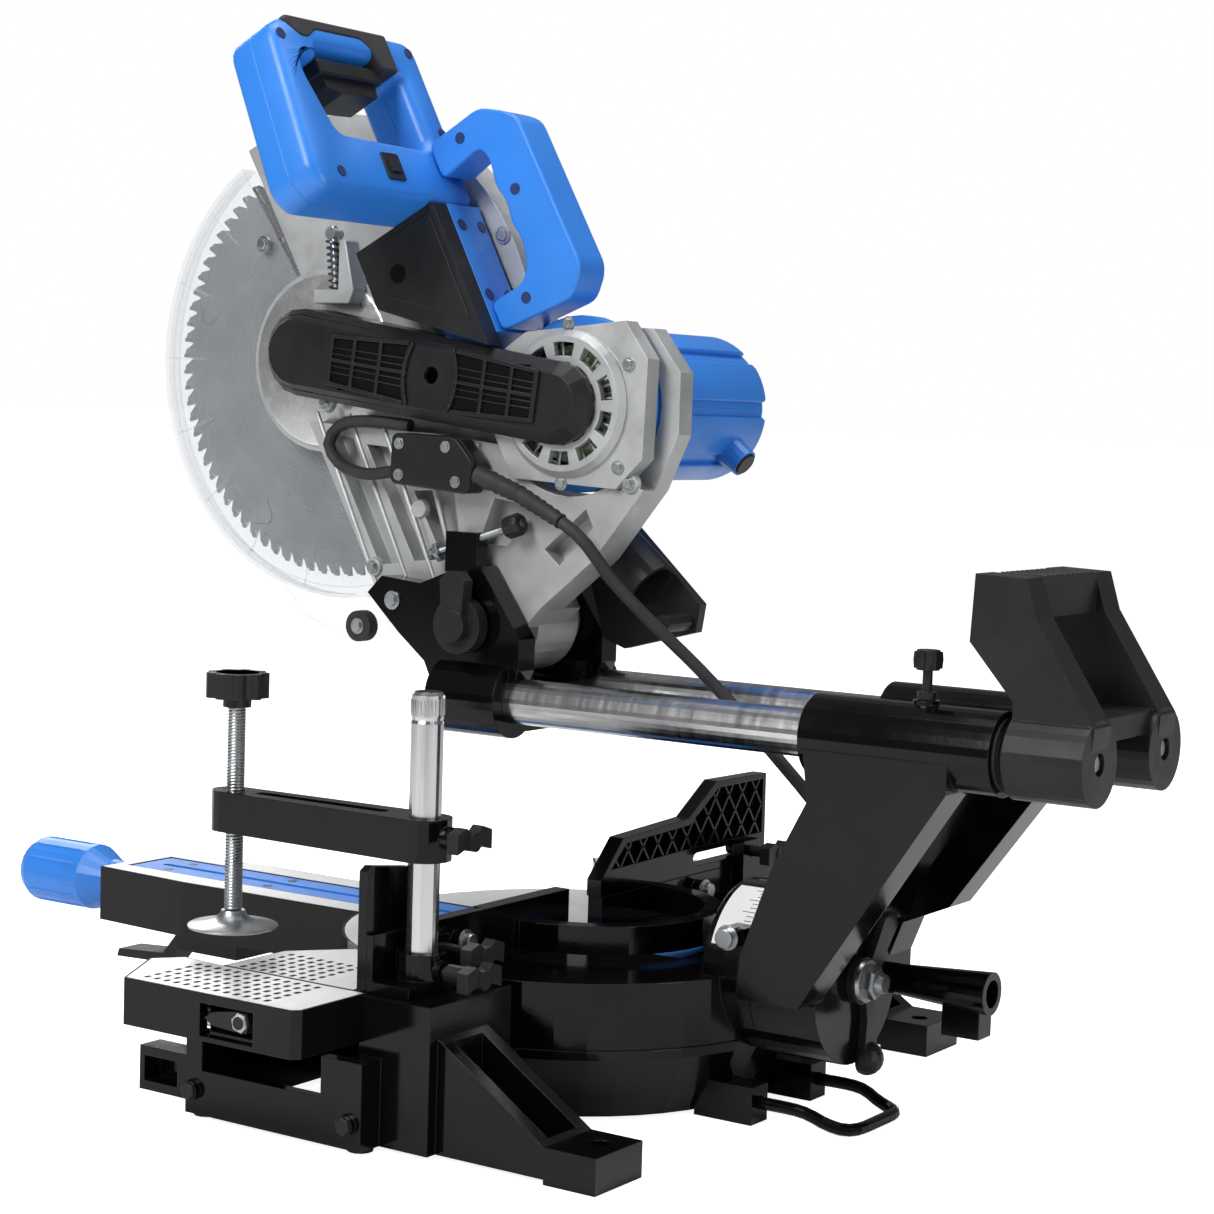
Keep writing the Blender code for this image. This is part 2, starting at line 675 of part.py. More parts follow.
def add_bevel_arm(turn):
    bevel = add_axis("bevel_turn", (0, DRUM_REAR_Y, TABLE_Z), turn)
    front = [(212, 245), (216, 213), (194, 171), (173, 112), (171, 86), (215, 86)]
    near = front + [(224, 100), (308, 227), (308, 245)]
    far = front + [(215, 100), (224, 123), (256, 137), (309, 210), (309, 245)]
    shapes = [rod((0, DRUM_SPLIT_Y + GAP, TABLE_Z), (0, DRUM_REAR_Y, TABLE_Z), DRUM_R, sides=40)]
    for side, outline in ((1, near), (-1, far)):
        low, high = sorted((side * 44, side * 75))
        shapes.append(prism(outline, low, high, along_x))
        shapes.append(rod((side * RAIL_X, 208, RAIL_Z), (side * RAIL_X, 334, RAIL_Z), 25.5, sides=32))
    shapes.append(box(-40, 40, 214, 330, 243, 260))
    shapes.append(rod((RAIL_X, 281, 270), (RAIL_X, 281, 279), 8, sides=16))
    cuts = []
    for side in (1, -1):
        bore = (side * RAIL_X, 190, RAIL_Z), (side * RAIL_X, 350, RAIL_Z)
        cuts.append(rod(*bore, RAIL_R + 0.5, sides=32))
        low, high = sorted((side * 36, side * 63))
        pocket = [(222, 225), (205, 172), (190, 128), (212, 122)]
        pocket += [(228, 128), (240, 160), (280, 215)]
        cuts.append(prism(pocket, low, high, along_x))
    cuts.append(rod((RAIL_X, 281, 262), (RAIL_X, 281, 290), 3.4, sides=12))
    cuts.append(rod((0, DRUM_REAR_Y - 12, TABLE_Z), (0, DRUM_REAR_Y + 5, TABLE_Z), 6.4, sides=16))
    add_solid("bevel_arm_casting", bevel, black_paint(), shapes, cuts)
    nut = [(0, 204), (6, 204), (6, 221.5), (13, 221.5), (13, 224)]
    nut += [(10, 224), (10, 231), (6, 231), (6, 236), (0, 236)]
    add_solid("bevel_nut", bevel, zinc_steel(), [lathe(nut, (0, TABLE_Z), along_y, 12)])
    lever_turn = add_axis("bevel_lever_turn", (0, 218, TABLE_Z), bevel)
    bar = [(-9, 104), (-26, 128), (-40, 130), (-44, 122), (-30, 108), (-17, 88), (-18, 66)]
    bar += [(-20, 48), (-4, 46), (-6, 66), (-3, 80), (10, 84), (14, 96), (4, 106)]
    shapes = [
        prism(bar, 215.4, 221, along_y),
        rod((0, 215.4, TABLE_Z), (0, 221, TABLE_Z), 15, sides=24),
        ball((-12, 218.5, 40), 11),
    ]
    cuts = [
        rod((0, 200, TABLE_Z), (0, 240, TABLE_Z), 6.5, sides=16),
        box(-40, 40, 195, DRUM_REAR_Y + 0.4, 20, 140),
    ]
    add_solid("bevel_lever", lever_turn, black_plastic(), shapes, cuts)
    shapes = [
        rod((-49, 215.4, 85), (-49, 224, 85), 10, sides=24),
        rod((-49, 222, 85), (-49, 286, 85), 10, 14, sides=24),
        box(-58, -40, 256, 282, 56, 76),
    ]
    cuts = [rod((-49, 256, 85), (-49, 300, 85), 9, sides=24), box(-40, -20, 200, 223, 60, 110)]
    add_solid("bevel_handle", bevel, black_paint(), shapes, cuts)
    knob = add_axis("rail_knob_turn", (RAIL_X, 281, 290), bevel)
    profile = [(0, 267.5), (3, 267.5), (3, 279.4), (6, 279.4), (6, 284), (3, 284)]
    profile += [(3, 297), (7, 297), (8, 301), (7, 309), (0, 309)]
    add_solid("rail_knob", knob, black_plastic(), [lathe(profile, (RAIL_X, 281), along_z, 12)])
    return bevel


# ---------------------------------------------------------------- slide carriage


def carriage_side(side):
    lug = [(-140, 316), (-113, 291), (-90, 273), (-80, 252), (-21, 252), (-12, 272)]
    lug += [(-12, 293), (-45, 339), (-57, 340), (-95, 325), (-128, 328)]
    low, high = sorted((side * 40, side * 58))
    cap = [(0, -82), (16, -82), (25, -76), (25, -20), (0, -20)]
    return [prism(lug, low, high, along_x), lathe(cap, (side * RAIL_X, RAIL_Z), along_y, 32)]


def add_carriage(bevel):
    slide = add_axis("head_slide", (0, 0, RAIL_Z), bevel)
    shapes = both_sides(carriage_side)
    shapes.append(box(-52, 52, -60, -20, 230, 260))
    shapes.append(box(44, 56, -76, -50, 334, 361))
    cuts = [
        rod((RAIL_X, RAIL_FRONT_Y - GAP, RAIL_Z), (RAIL_X, 0, RAIL_Z), RAIL_R + GAP, sides=32),
        rod((-RAIL_X, RAIL_FRONT_Y - GAP, RAIL_Z), (-RAIL_X, 0, RAIL_Z), RAIL_R + GAP, sides=32),
        rod((-80, PIVOT_Y, PIVOT_Z), (80, PIVOT_Y, PIVOT_Z), 8.4, sides=24),
        rod((50, -110, 338.5), (50, -10, 371.5), 3.6, sides=12),
    ]
    add_solid("carriage", slide, black_paint(), shapes, cuts)
    for side, word in ((1, "right"), (-1, "left")):
        start = (side * RAIL_X, RAIL_FRONT_Y, RAIL_Z)
        end = (side * RAIL_X, RAIL_REAR_Y, RAIL_Z)
        add_solid("rail_" + word, slide, chrome(), [rod(start, end, RAIL_R, sides=32)])
    shaft = rod((-60, PIVOT_Y, PIVOT_Z), (60, PIVOT_Y, PIVOT_Z), 8, sides=24)
    add_solid("pivot_shaft", slide, zinc_steel(), [shaft])
    plate = [(315, 357), (347, 356), (354, 333), (393, 273)]
    plate += [(391, 246), (342, 246), (342, 284), (313, 317)]
    shapes = []
    cuts = []
    for side in (1, -1):
        low, high = sorted((side * 38, side * 62))
        shapes.append(prism(plate, low, high, along_x))
        shapes.append(rod((side * RAIL_X, 342, RAIL_Z), (side * RAIL_X, 392, RAIL_Z), 25.5, sides=32))
        socket = (side * RAIL_X, 330, RAIL_Z), (side * RAIL_X, RAIL_REAR_Y + 1, RAIL_Z)
        cuts.append(rod(*socket, RAIL_R + GAP, sides=32))
        cuts.append(rod((side * RAIL_X, 370, RAIL_Z), (side * RAIL_X, 400, RAIL_Z), 7, sides=16))
    shapes.append(box(-40, 40, 316, 348, 332, 356))
    shapes.append(box(-40, 40, 352, 388, 262, 276))
    add_solid("rear_handle", slide, black_plastic(), shapes, cuts)
    lock = add_axis("head_lock_turn", (66, PIVOT_Y, PIVOT_Z), slide)
    lever = [(-63, 305), (-65, 330), (-59, 336), (-51, 336), (-45, 330), (-47, 305)]
    shapes = [
        rod((60.4, PIVOT_Y, PIVOT_Z), (70, PIVOT_Y, PIVOT_Z), 19, sides=24),
        prism(lever, 66, 76, along_x),
        rod((64, PIVOT_Y, PIVOT_Z), (77, PIVOT_Y, PIVOT_Z), 11, sides=24),
    ]
    add_solid("head_lock_lever", lock, black_plastic(), shapes)
    depth = add_axis("depth_screw_slide", (50, -60, 355), slide)
    shapes = [
        rod((50, -93, 344.1), (50, -18, 368.9), 3, sides=12),
        rod((50, -87, 346.1), (50, -84, 347.1), 8, sides=16),
        rod((50, -30, 365), (50, -18, 368.9), 8, sides=12),
    ]
    add_solid("depth_screw", depth, zinc_steel(), shapes)
    return slide


# ---------------------------------------------------------------- head


def arbor_sector(inner, outer, start, end, steps):
    return ring_sector(ARBOR_Y, ARBOR_Z, inner, outer, start, end, steps)


def motor_flange_outline(margin):
    """Squarish outline of the motor's mounting flange, grown by a margin."""
    corners = [(-58, 30), (-58, -20), (-42, -50), (40, -54)]
    corners += [(60, -34), (62, 30), (44, 54), (-34, 46)]
    grow = 1 + margin / 50
    return [(MOTOR_Y + a * grow, MOTOR_Z + b * grow) for a, b in corners]


def add_arm(head):
    """Cast arm, with the upper guard in one piece."""
    plate = [(-240, 492), (-243, 470), (-219, 440), (-150, 318), (-88, 314), (-55, 336)]
    plate += [(-12, 311), (31, 347), (68, 394), (84, 430), (84, 470), (62, 498)]
    plate += [(10, 500), (-46, 486), (-80, 468), (-92, 478), (-150, 520)]
    lower = [(-212, 430), (-147, 316), (-88, 314), (-75, 330), (-30, 328), (-12, 311)]
    lower += [(31, 347), (68, 394), (44, 402), (-30, 418), (-100, 425)]
    half_boss = [(34, 23), (25.5, 24), (25.5, 38), (0, 38)]
    profile = [(radius, -x) for radius, x in reversed(half_boss)] + half_boss
    boss = lathe(profile, (PIVOT_Y, PIVOT_Z), along_x, 32)
    neck = [(-84, 314), (-79, 324), (-52, 342), (-30, 342), (-12, 311), (-22, 299), (-55, 294)]
    guard = arbor_sector(60, 173, 8, 120, 20)
    guard_room = arbor_sector(40, 170, -20, 140, 28)
    shapes = [
        prism(plate, 8, 23.5, along_x),
        prism(lower, 20, 38, along_x),
        boss,
        prism(neck, -12, 38, along_x),
        prism(guard, -20, 8.5, along_x),
        prism(circle(ARBOR_Y, ARBOR_Z, 64, 32), 6, 22, along_x),
        box(30, 41.7, -112, -62, 392, 420),
    ]
    pockets = [
        [(-196, 424), (-146, 334), (-128, 336), (-172, 420)],
        [(-160, 416), (-116, 338), (-98, 340), (-132, 414)],
        [(-118, 386), (-92, 342), (-76, 346), (-84, 388)],
        [(-50, 384), (-62, 352), (-38, 352), (-20, 380)],
        [(-8, 352), (4, 342), (30, 368), (24, 380)],
    ]
    cuts = [
        prism(guard_room, -17.5, 6, along_x),
        rod((-80, PIVOT_Y, PIVOT_Z), (80, PIVOT_Y, PIVOT_Z), 8.4, sides=24),
        rod((-10, ARBOR_Y, ARBOR_Z), (40, ARBOR_Y, ARBOR_Z), 12, sides=24),
        rod((-200, MOTOR_Y, MOTOR_Z), (60, MOTOR_Y, MOTOR_Z), 60.5, sides=40),
    ]
    cuts.append(prism(motor_flange_outline(0.5), 29.6, 60, along_x))
    for pocket in pockets:
        cuts.append(prism(pocket, 24, 45, along_x))
    add_solid("arm_casting", head, cast_aluminium(), shapes, cuts)


def add_motor(head):
    slots = []
    for inner, outer in ((19, 27), (31, 40)):
        for i in range(10):
            sector = ring_sector(MOTOR_Y, MOTOR_Z, inner, outer, i * 36 + 4.7, i * 36 + 29.1, 3)
            slots.append(prism(sector, 40, 55, along_x))
    rims = [circle(MOTOR_Y, MOTOR_Z, radius, 40) for radius in (48, 48, 44)]
    shapes = [prism(motor_flange_outline(0), 30, 44, along_x), loft(rims, [32, 46, 50], along_x)]
    room = rod((25, MOTOR_Y, MOTOR_Z), (45, MOTOR_Y, MOTOR_Z), 43, sides=32)
    bore = rod((20, MOTOR_Y, MOTOR_Z), (60, MOTOR_Y, MOTOR_Z), 9, sides=16)
    add_solid("motor_flange", head, cast_aluminium(), shapes, [room, bore] + slots)
    housing = [(0, -150), (34, -150), (40, -140), (47, -128), (48, 12), (58, 20)]
    housing += [(58, 29.6), (50, 29.6), (43, 10), (43, -124), (0, -124)]
    cap_rear = rod((-98, 42, 425), (-98, 62, 411), 12, 10, sides=16)
    cap_front = rod((-98, -22, 471), (-98, -42, 485), 12, 10, sides=16)
    shapes = [lathe(housing, (MOTOR_Y, MOTOR_Z), along_x, 32), cap_rear, cap_front]
    room = rod((-124, MOTOR_Y, MOTOR_Z), (10, MOTOR_Y, MOTOR_Z), 43, sides=32)
    add_solid("motor_housing", head, blue_plastic(), shapes, [room])
    spin = add_axis("rotor_turn", (0, MOTOR_Y, MOTOR_Z), head)
    rotor = [(0, -123), (5, -123), (5, -100), (30, -100), (30, -10), (8, -10), (8, 8)]
    rotor += [(38, 8), (38, 22), (8, 22), (7, 54), (13, 54), (13, 59.4), (0, 59.4)]
    add_solid("motor_rotor", spin, zinc_steel(), [lathe(rotor, (MOTOR_Y, MOTOR_Z), along_x, 16)])


def stadium(left_r, right_r, steps=8):
    """Outline of the belt drive: round at the arbor and at the motor."""
    tilt = math.degrees(math.atan2(MOTOR_Z - ARBOR_Z, MOTOR_Y - ARBOR_Y))
    left = arc(ARBOR_Y + 7, ARBOR_Z + 5, left_r, 90 + tilt, 270 + tilt, steps)
    return left + arc(MOTOR_Y, MOTOR_Z, right_r, -90 + tilt, 90 + tilt, steps)


def add_belt_drive(head):
    outer = loft([stadium(30, 27), stadium(30, 27), stadium(22, 19)], [51, 56, 64], along_x)
    left_outline = [(y, z) for y, z in stadium(30, 27) if y < -150]
    left_outline += [(-100, 435), (-100, 491)]
    left_room = [(y, z) for y, z in stadium(27, 24) if y < -150]
    left_room += [(-104, 439), (-104, 487)]
    shapes = [outer, prism(left_outline, 24, 53, along_x)]
    cuts = [prism(left_room, 20, 52, along_x), prism(stadium(26, 22), 50, 60.5, along_x)]
    for window, (y0, y1) in enumerate(((-166, -106), (-66, -6))):
        for row in range(4):
            middle_y = (y0 + y1) / 2
            middle_z = ARBOR_Z + 5 - (middle_y - ARBOR_Y) * 0.122
            z = middle_z + (row - 1.5) * 9
            for low, high in ((y0, middle_y - 2), (middle_y + 2, y1)):
                cuts.append(box(58, 70, low, high, z - 2.6, z + 2.6))
    cuts.append(rod((58, -86, 464), (70, -86, 464), 6, sides=16))
    add_solid("belt_cover", head, black_plastic(), shapes, cuts)
    belt = prism(stadium(16, 16), 54.4, 59, along_x)
    inner = prism(stadium(13.6, 13.6), 50, 65, along_x)
    pulley_room = rod((50, ARBOR_Y, ARBOR_Z), (65, ARBOR_Y, ARBOR_Z), 15.4, sides=24)
    add_solid("drive_belt", head, black_rubber(), [belt], [inner, pulley_room])
    wedge = [(-7.6, -1), (98, -1), (35, -73), (-7.6, -73)]
    hole = rod((40, -116, 531), (70, -116, 531), 6, sides=16)
    add_solid("belt_box", head, black_plastic(), [prism(wedge, 47.8, 63, lean_side)], [hole])


def add_blade(head):
    spin = add_axis("blade_turn", (0, ARBOR_Y, ARBOR_Z), head)
    disc = [(8.4, -BLADE_HALF), (BLADE_R, -BLADE_HALF), (BLADE_R, BLADE_HALF), (8.4, BLADE_HALF)]
    add_solid("saw_blade", spin, blade_steel(), [lathe(disc, (ARBOR_Y, ARBOR_Z), along_x, 72)])
    arbor = [(0, -16), (9, -16), (9, -6), (24, -5), (24, -1.6), (8, -1.6), (8, 1.6)]
    arbor += [(24, 1.6), (24, 3.2), (8, 3.2), (8, 54.4), (12.4, 54.4), (12.4, 59.4), (0, 59.4)]
    add_solid("arbor", spin, zinc_steel(), [lathe(arbor, (ARBOR_Y, ARBOR_Z), along_x, 16)])
    swing = add_axis("lower_guard_turn", (0, ARBOR_Y, ARBOR_Z), head)
    lip_angles = ((-112, 160), (-99, 184), (-84, 200), (-75, 200), (-75, 160))
    lip = []
    for angle, radius in lip_angles:
        lip += arc(ARBOR_Y, ARBOR_Z, radius, angle, angle, 1)[:1]
    shapes = [
        prism(arbor_sector(30, 168, 125, 285, 26), -10, 4.7, along_x),
        prism(lip, 1.5, 4.7, along_x),
    ]
    cuts = [prism(arbor_sector(20, 165.5, 110, 300, 30), -8.6, 3.4, along_x)]
    add_solid("lower_guard", swing, clear_plastic(), shapes, cuts)
    roll_y = ARBOR_Y + 188 * math.cos(math.radians(-81))
    roll_z = ARBOR_Z + 188 * math.sin(math.radians(-81))
    roll = add_axis("guard_roller_turn", (10, roll_y, roll_z), swing)
    wheel = rod((5.0, roll_y, roll_z), (14, roll_y, roll_z), 11, sides=20)
    add_solid("guard_roller", roll, black_rubber(), [wheel])


def d_handle_outline():
    return [(13.5, -128), (22, -136), (150, -136), (164, -128), (178, -22), (170, -8), (13.5, -8)]


def add_handles(head):
    window = [(41, -104), (44, -108), (142, -108), (146, -96), (135, -52), (46, -50), (41, -56)]
    pocket = [(62, -116), (122, -116), (122, -100), (62, -100)]
    cuts = [
        prism(window, -50, 10, lean_point),
        prism(pocket, -36, -8, lean_point),
        prism(rectangle(88, 98, -35, -25), -8, 10, lean_point),
    ]
    body = prism(d_handle_outline(), -42, -0.4, lean_point)
    add_solid("d_handle", head, blue_plastic(), [body], cuts)
    spine = rectangle(12.5, 47.5, -7.6, 88)
    holes = []
    for x in (18, 40):
        for s in (8, 60):
            holes.append(rod(lean_point(x, s, -6), lean_point(x, s, 5), 3.4, sides=12))
    add_solid("handle_spine", head, blue_plastic(), [prism(spine, -40, -0.4, lean_point)], holes)
    outer = [(-52, 0), (-54, 49), (-41, 67), (-31, 78), (77, 81), (85, 77), (96, 64), (88, 0)]
    gap = [(-25, -3), (-30, 37), (-18, 40), (0, 37), (12, 41)]
    gap += [(28, 38), (42, 41), (57, 38), (67, 29), (67, -3)]
    body = prism(outer, 13, 43, lean_side)
    add_solid("carry_handle", head, blue_plastic(), [body], [prism(gap, 5, 50, lean_side)])
    trigger_axis = add_axis("trigger_slide", lean_point(92, -98, -22), head)
    body = prism([(63, -107.6), (121, -107.6), (118, -92), (104, -88), (66, -90)], -35, -9, lean_point)
    add_solid("trigger", trigger_axis, black_plastic(), [body])
    button_axis = add_axis("light_switch_slide", lean_point(93, -30, 0), head)
    button = prism(rectangle(88.4, 97.6, -34.6, -25.4), -5, 2.5, lean_point)
    add_solid("light_switch", button_axis, black_plastic(), [button])


def add_head_fittings(head):
    outline = [(-121, 425), (-68, 424), (-52, 407), (-56, 386), (-122, 391)]
    add_solid("junction_box", head, black_plastic(), [prism(outline, 42, 60, along_x)])
    relief = [
        rod((55, -51.2, 399.5), (55, -17, 388), 7, 6.2, sides=16),
        rod((55, -19, 388.8), (55, 16, 372), 6.2, 5.4, sides=16),
    ]
    add_solid("strain_relief", head, black_rubber(), relief)
    route = [(52, -124, 399), (50, -150, 396), (47, -176, 402), (46, -187, 416)]
    route += [(46, -176, 429), (46, -150, 432), (46, -116, 430)]
    add_tube("loop_cable", head, black_rubber(), route, CORD_R, 8)
    port_start = (-12, 2, 362)
    port_end = (-12, 44, 328)
    bracket = [(-1, 384), (-30, 384), (-24, 350), (-4, 290), (13, 284), (69, 299), (72, 318), (30, 356)]
    shapes = [
        rod(port_start, port_end, 20, sides=24),
        prism([(-34, 388), (-38, 352), (0, 340), (20, 365), (8, 386)], -32, 4, along_x),
        prism(bracket, -38, -30, along_x),
        rod((-38, 62, 306), (2, 62, 306), 6, sides=16),
    ]
    direction = (Vector(port_end) - Vector(port_start)).normalized()
    bore_start = Vector(port_start) - direction * 2
    bore_end = Vector(port_end) + direction * 10
    bore = rod(bore_start, bore_end, 16.5, sides=24)
    add_solid("dust_chute", head, black_plastic(), shapes, [bore])


# ---------------------------------------------------------------- cord

CORD_ROUTE = [
    (55.0, 16.7, 371.6),
    (55.0, 25, 367.2),
    (51, 37, 355),
    (42, 48, 336),
    (25, 66, 311),
    (8, 94, 281),
    (0, 120, 255),
    (0, 150, 228),
    (-2, 176, 203),
    (-20, 188, 176),
    (-48, 178, 146),
    (-76, 158, 112),
    (-108, 138, 86),
    (-146, 120, 68),
    (-186, 106, 60),
    (-228, 91.5, 61.5),
    (-246, 85.3, 54.5),
    (-264, 79.1, 40.2),
    (-282, 72.9, 23.7),
    (-298, 67.4, 11.4),
    (-310, 63.2, 6.0),
    (-319.5, 59.9, 4.7),
]


def plug_point(along, across):
    """Place beside the coil on the line that the lead leaves it by, and across that line."""
    slant = math.sqrt(0.5)
    x = COIL_X + slant * (along + across - COIL_LEAVE_R)
    y = COIL_Y + slant * (across - along - COIL_LEAVE_R)
    return Vector((x, y, PLUG_Z))


def add_cord(root):
    add_tube("cord_tube", root, black_rubber(), CORD_ROUTE, CORD_R, 18)
    inner = COIL_MID_R - 3 * CORD_R
    outer = COIL_MID_R + 3 * CORD_R
    ring = [(inner, 0.4), (outer, 0.4), (outer, COIL_TOP_Z), (inner, COIL_TOP_Z)]
    coil = lathe(ring, (COIL_X, COIL_Y), along_z, 32)
    add_solid("cord_coil", root, black_rubber(), [coil])
    shapes = [
        rod(plug_point(46, 0), plug_point(80, 0), 5, 7.5, sides=16),
        rod(plug_point(78, 0), plug_point(116, 0), 13.2, sides=16),
    ]
    for across in (-6.5, 6.5):
        shapes.append(rod(plug_point(112, across), plug_point(134, across), 2.2, sides=10))
    add_solid("plug", root, black_rubber(), shapes)


# ---------------------------------------------------------------- whole saw


def clear_scene():
    for thing in list(bpy.data.objects):
        bpy.data.objects.remove(thing)


def main():
    clear_scene()
    root = add_axis("saw_origin", (0, 0, 0))
    add_base(root)
    add_fence(root)
    add_fence_slides(root)
    add_ext_tables(root)
    add_anti_tip(root)
    add_clamp(root)
    turn = add_turntable(root)
    bevel = add_bevel_arm(turn)
    slide = add_carriage(bevel)
    head = add_axis("head_turn", (0, PIVOT_Y, PIVOT_Z), slide)
    add_arm(head)
    add_motor(head)
    add_belt_drive(head)
    add_blade(head)
    add_handles(head)
    add_head_fittings(head)
    add_cord(root)


main()
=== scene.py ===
import math

import bmesh
import bpy
from mathutils import Matrix, Vector


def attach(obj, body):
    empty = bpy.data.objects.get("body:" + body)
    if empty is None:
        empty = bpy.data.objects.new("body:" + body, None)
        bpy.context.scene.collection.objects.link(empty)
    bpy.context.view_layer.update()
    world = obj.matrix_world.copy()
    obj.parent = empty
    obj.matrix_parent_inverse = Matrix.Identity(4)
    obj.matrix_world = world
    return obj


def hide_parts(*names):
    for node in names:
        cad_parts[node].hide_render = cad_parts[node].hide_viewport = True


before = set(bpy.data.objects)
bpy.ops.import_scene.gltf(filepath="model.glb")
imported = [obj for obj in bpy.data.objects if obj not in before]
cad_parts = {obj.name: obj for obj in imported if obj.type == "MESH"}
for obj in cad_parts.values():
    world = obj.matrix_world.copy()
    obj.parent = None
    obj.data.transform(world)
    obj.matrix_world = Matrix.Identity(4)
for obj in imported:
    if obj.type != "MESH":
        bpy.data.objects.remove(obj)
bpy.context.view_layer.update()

# Shapes are given in millimetres from the turntable's pivot, Y to the rear, as in the CAD source.
MM = 0.001
ORIGIN_Y = 58.0
SMOOTH_ANGLE, SOFTEN_ANGLE = 32, 35
RAIL_X, RAIL_Z = 50.0, 251.5
ARBOR_Y, ARBOR_Z = -213.0, 473.0
MOTOR_Y, MOTOR_Z = 10.0, 448.0
LEAN_Y, LEAN_Z, LEAN_SIN, LEAN_COS = -85.0, 572.0, 0.466, 0.885
POST_X, POST_Y, SCREW_Y = 202.0, 25.0, -127.0
GUARD_X = 4.1
TABLE_Z = 92.0
SKIN_LOW, SKIN_HIGH = TABLE_Z - 0.05, TABLE_Z + 0.22
MARK_LOW, MARK_HIGH = TABLE_Z + 0.15, TABLE_Z + 0.29

# Blade: tooth count, one tooth's outline as (share of the pitch, radius), half its thickness
TEETH = 80
TOOTH = ((0.0, 144.0), (0.22, 147.0), (0.45, 151.0), (0.93, 152.2), (0.97, 146.5))
BLADE_HALF, TIP_HALF = 0.95, 1.28

# Camera: place in metres, the way it looks in degrees, and its lens on the sensor's width in mm
CAMERA_PLACE = (1.425, 1.022, 0.445)
CAMERA_YAW, CAMERA_PITCH, CAMERA_ROLL = 33.59, 4.38, 1.82
CAMERA_LENS, CAMERA_SENSOR = 76.39, 36.0
CAMERA_NEAR, CAMERA_FAR = 0.05, 200.0

# Studio: half the floor's side in metres, and how strong floor and world are as light and as seen
FLOOR_HALF, FLOOR_DROP = 60.0, 0.0004
FLOOR_LIT, FLOOR_SEEN = 0.0, 0.9
WORLD_LIT, WORLD_SEEN = 0.17, 1.0

# Belt cover's face, the middle of the drive on it, and the way the drive runs
COVER_X = 63.8
COVER_Y, COVER_Z = -86.0, 462.6
COVER_COS, COVER_SIN = 0.9926, 0.1215

# Cord
CORD_R = 4.25
COIL_X, COIL_Y = -352.0, -11.0


def at(x, y, z):
    """Place in the frame, in metres."""
    return Vector((x, y + ORIGIN_Y, z)) * MM


# ---- camera, floor and light


def add_camera():
    """Camera to the rear right of the saw, a little above the handles' foot."""
    data = bpy.data.cameras.new("camera")
    data.sensor_width = CAMERA_SENSOR
    data.lens = CAMERA_LENS
    data.clip_start = CAMERA_NEAR
    data.clip_end = CAMERA_FAR
    camera = bpy.data.objects.new("camera", data)
    bpy.context.scene.collection.objects.link(camera)
    yaw, pitch = math.radians(CAMERA_YAW), math.radians(CAMERA_PITCH)
    roll = math.radians(CAMERA_ROLL)
    look = Vector(
        (-math.cos(yaw) * math.cos(pitch), -math.sin(yaw) * math.cos(pitch), -math.sin(pitch))
    )
    level = look.cross(Vector((0, 0, 1))).normalized()
    rise = level.cross(look)
    right = level * math.cos(roll) + rise * math.sin(roll)
    up = rise * math.cos(roll) - level * math.sin(roll)
    turn = Matrix((right, up, -look)).transposed()
    camera.matrix_world = Matrix.Translation(CAMERA_PLACE) @ turn.to_4x4()
    bpy.context.scene.camera = camera


def add_light(name, place, target, size, watts):
    data = bpy.data.lights.new(name, "AREA")
    data.shape = "RECTANGLE"
    data.size, data.size_y = size
    data.energy = watts
    light = bpy.data.objects.new(name, data)
    bpy.context.scene.collection.objects.link(light)
    light.location = place
    light.rotation_mode = "QUATERNION"
    light.rotation_quaternion = (Vector(target) - Vector(place)).to_track_quat("-Z", "Y")


def seen_strength(tree, hidden, seen):
    """Strength of a studio surface as it lights the saw, and as it is seen itself."""
    path = tree.nodes.new("ShaderNodeLightPath")
    strength = tree.nodes.new("ShaderNodeMapRange")
    strength.inputs["To Min"].default_value = hidden
    strength.inputs["To Max"].default_value = seen
    tree.links.new(path.outputs["Is Camera Ray"], strength.inputs["Value"])
    return strength.outputs["Result"]


def add_studio():
    mesh = bpy.data.meshes.new("floor")
    corners = [(x * FLOOR_HALF, y * FLOOR_HALF, 0) for x, y in ((-1, -1), (1, -1), (1, 1), (-1, 1))]
    mesh.from_pydata(corners, [], [(0, 1, 2, 3)])
    floor = bpy.data.objects.new("floor", mesh)
    floor.location.z = -FLOOR_DROP
    bpy.context.scene.collection.objects.link(floor)
    white = plain("floor_white", (0.86, 0.86, 0.86), 0.7)
    shader = white.node_tree.nodes["Principled BSDF"]
    shader.inputs["Specular IOR Level"].default_value = 0.15
    shader.inputs["Emission Color"].default_value = (1.0, 1.0, 1.0, 1.0)
    glow = seen_strength(white.node_tree, FLOOR_LIT, FLOOR_SEEN)
    white.node_tree.links.new(glow, shader.inputs["Emission Strength"])
    mesh.materials.append(white)
    world = bpy.data.worlds.new("studio")
    world.use_nodes = True
    tree = world.node_tree
    shade = tree.nodes["Background"]
    shade.inputs["Color"].default_value = (1.0, 1.0, 1.0, 1.0)
    tree.links.new(seen_strength(tree, WORLD_LIT, WORLD_SEEN), shade.inputs["Strength"])
    bpy.context.scene.world = world
    bpy.context.scene.view_settings.view_transform = "Standard"
    add_light("key", (2.4, -0.3, 1.9), (0, 0, 0.4), (0.9, 1.3), 62)
    add_light("side", (0.5, 2.7, 0.9), (0, 0, 0.3), (0.7, 1.8), 20)
    add_light("top", (-0.2, 0.1, 2.6), (0, 0, 0.2), (1.2, 2.2), 42)
    add_light("front", (-1.4, -2.2, 1.5), (0, 0, 0.35), (1.2, 1.2), 24)


# ---- materials


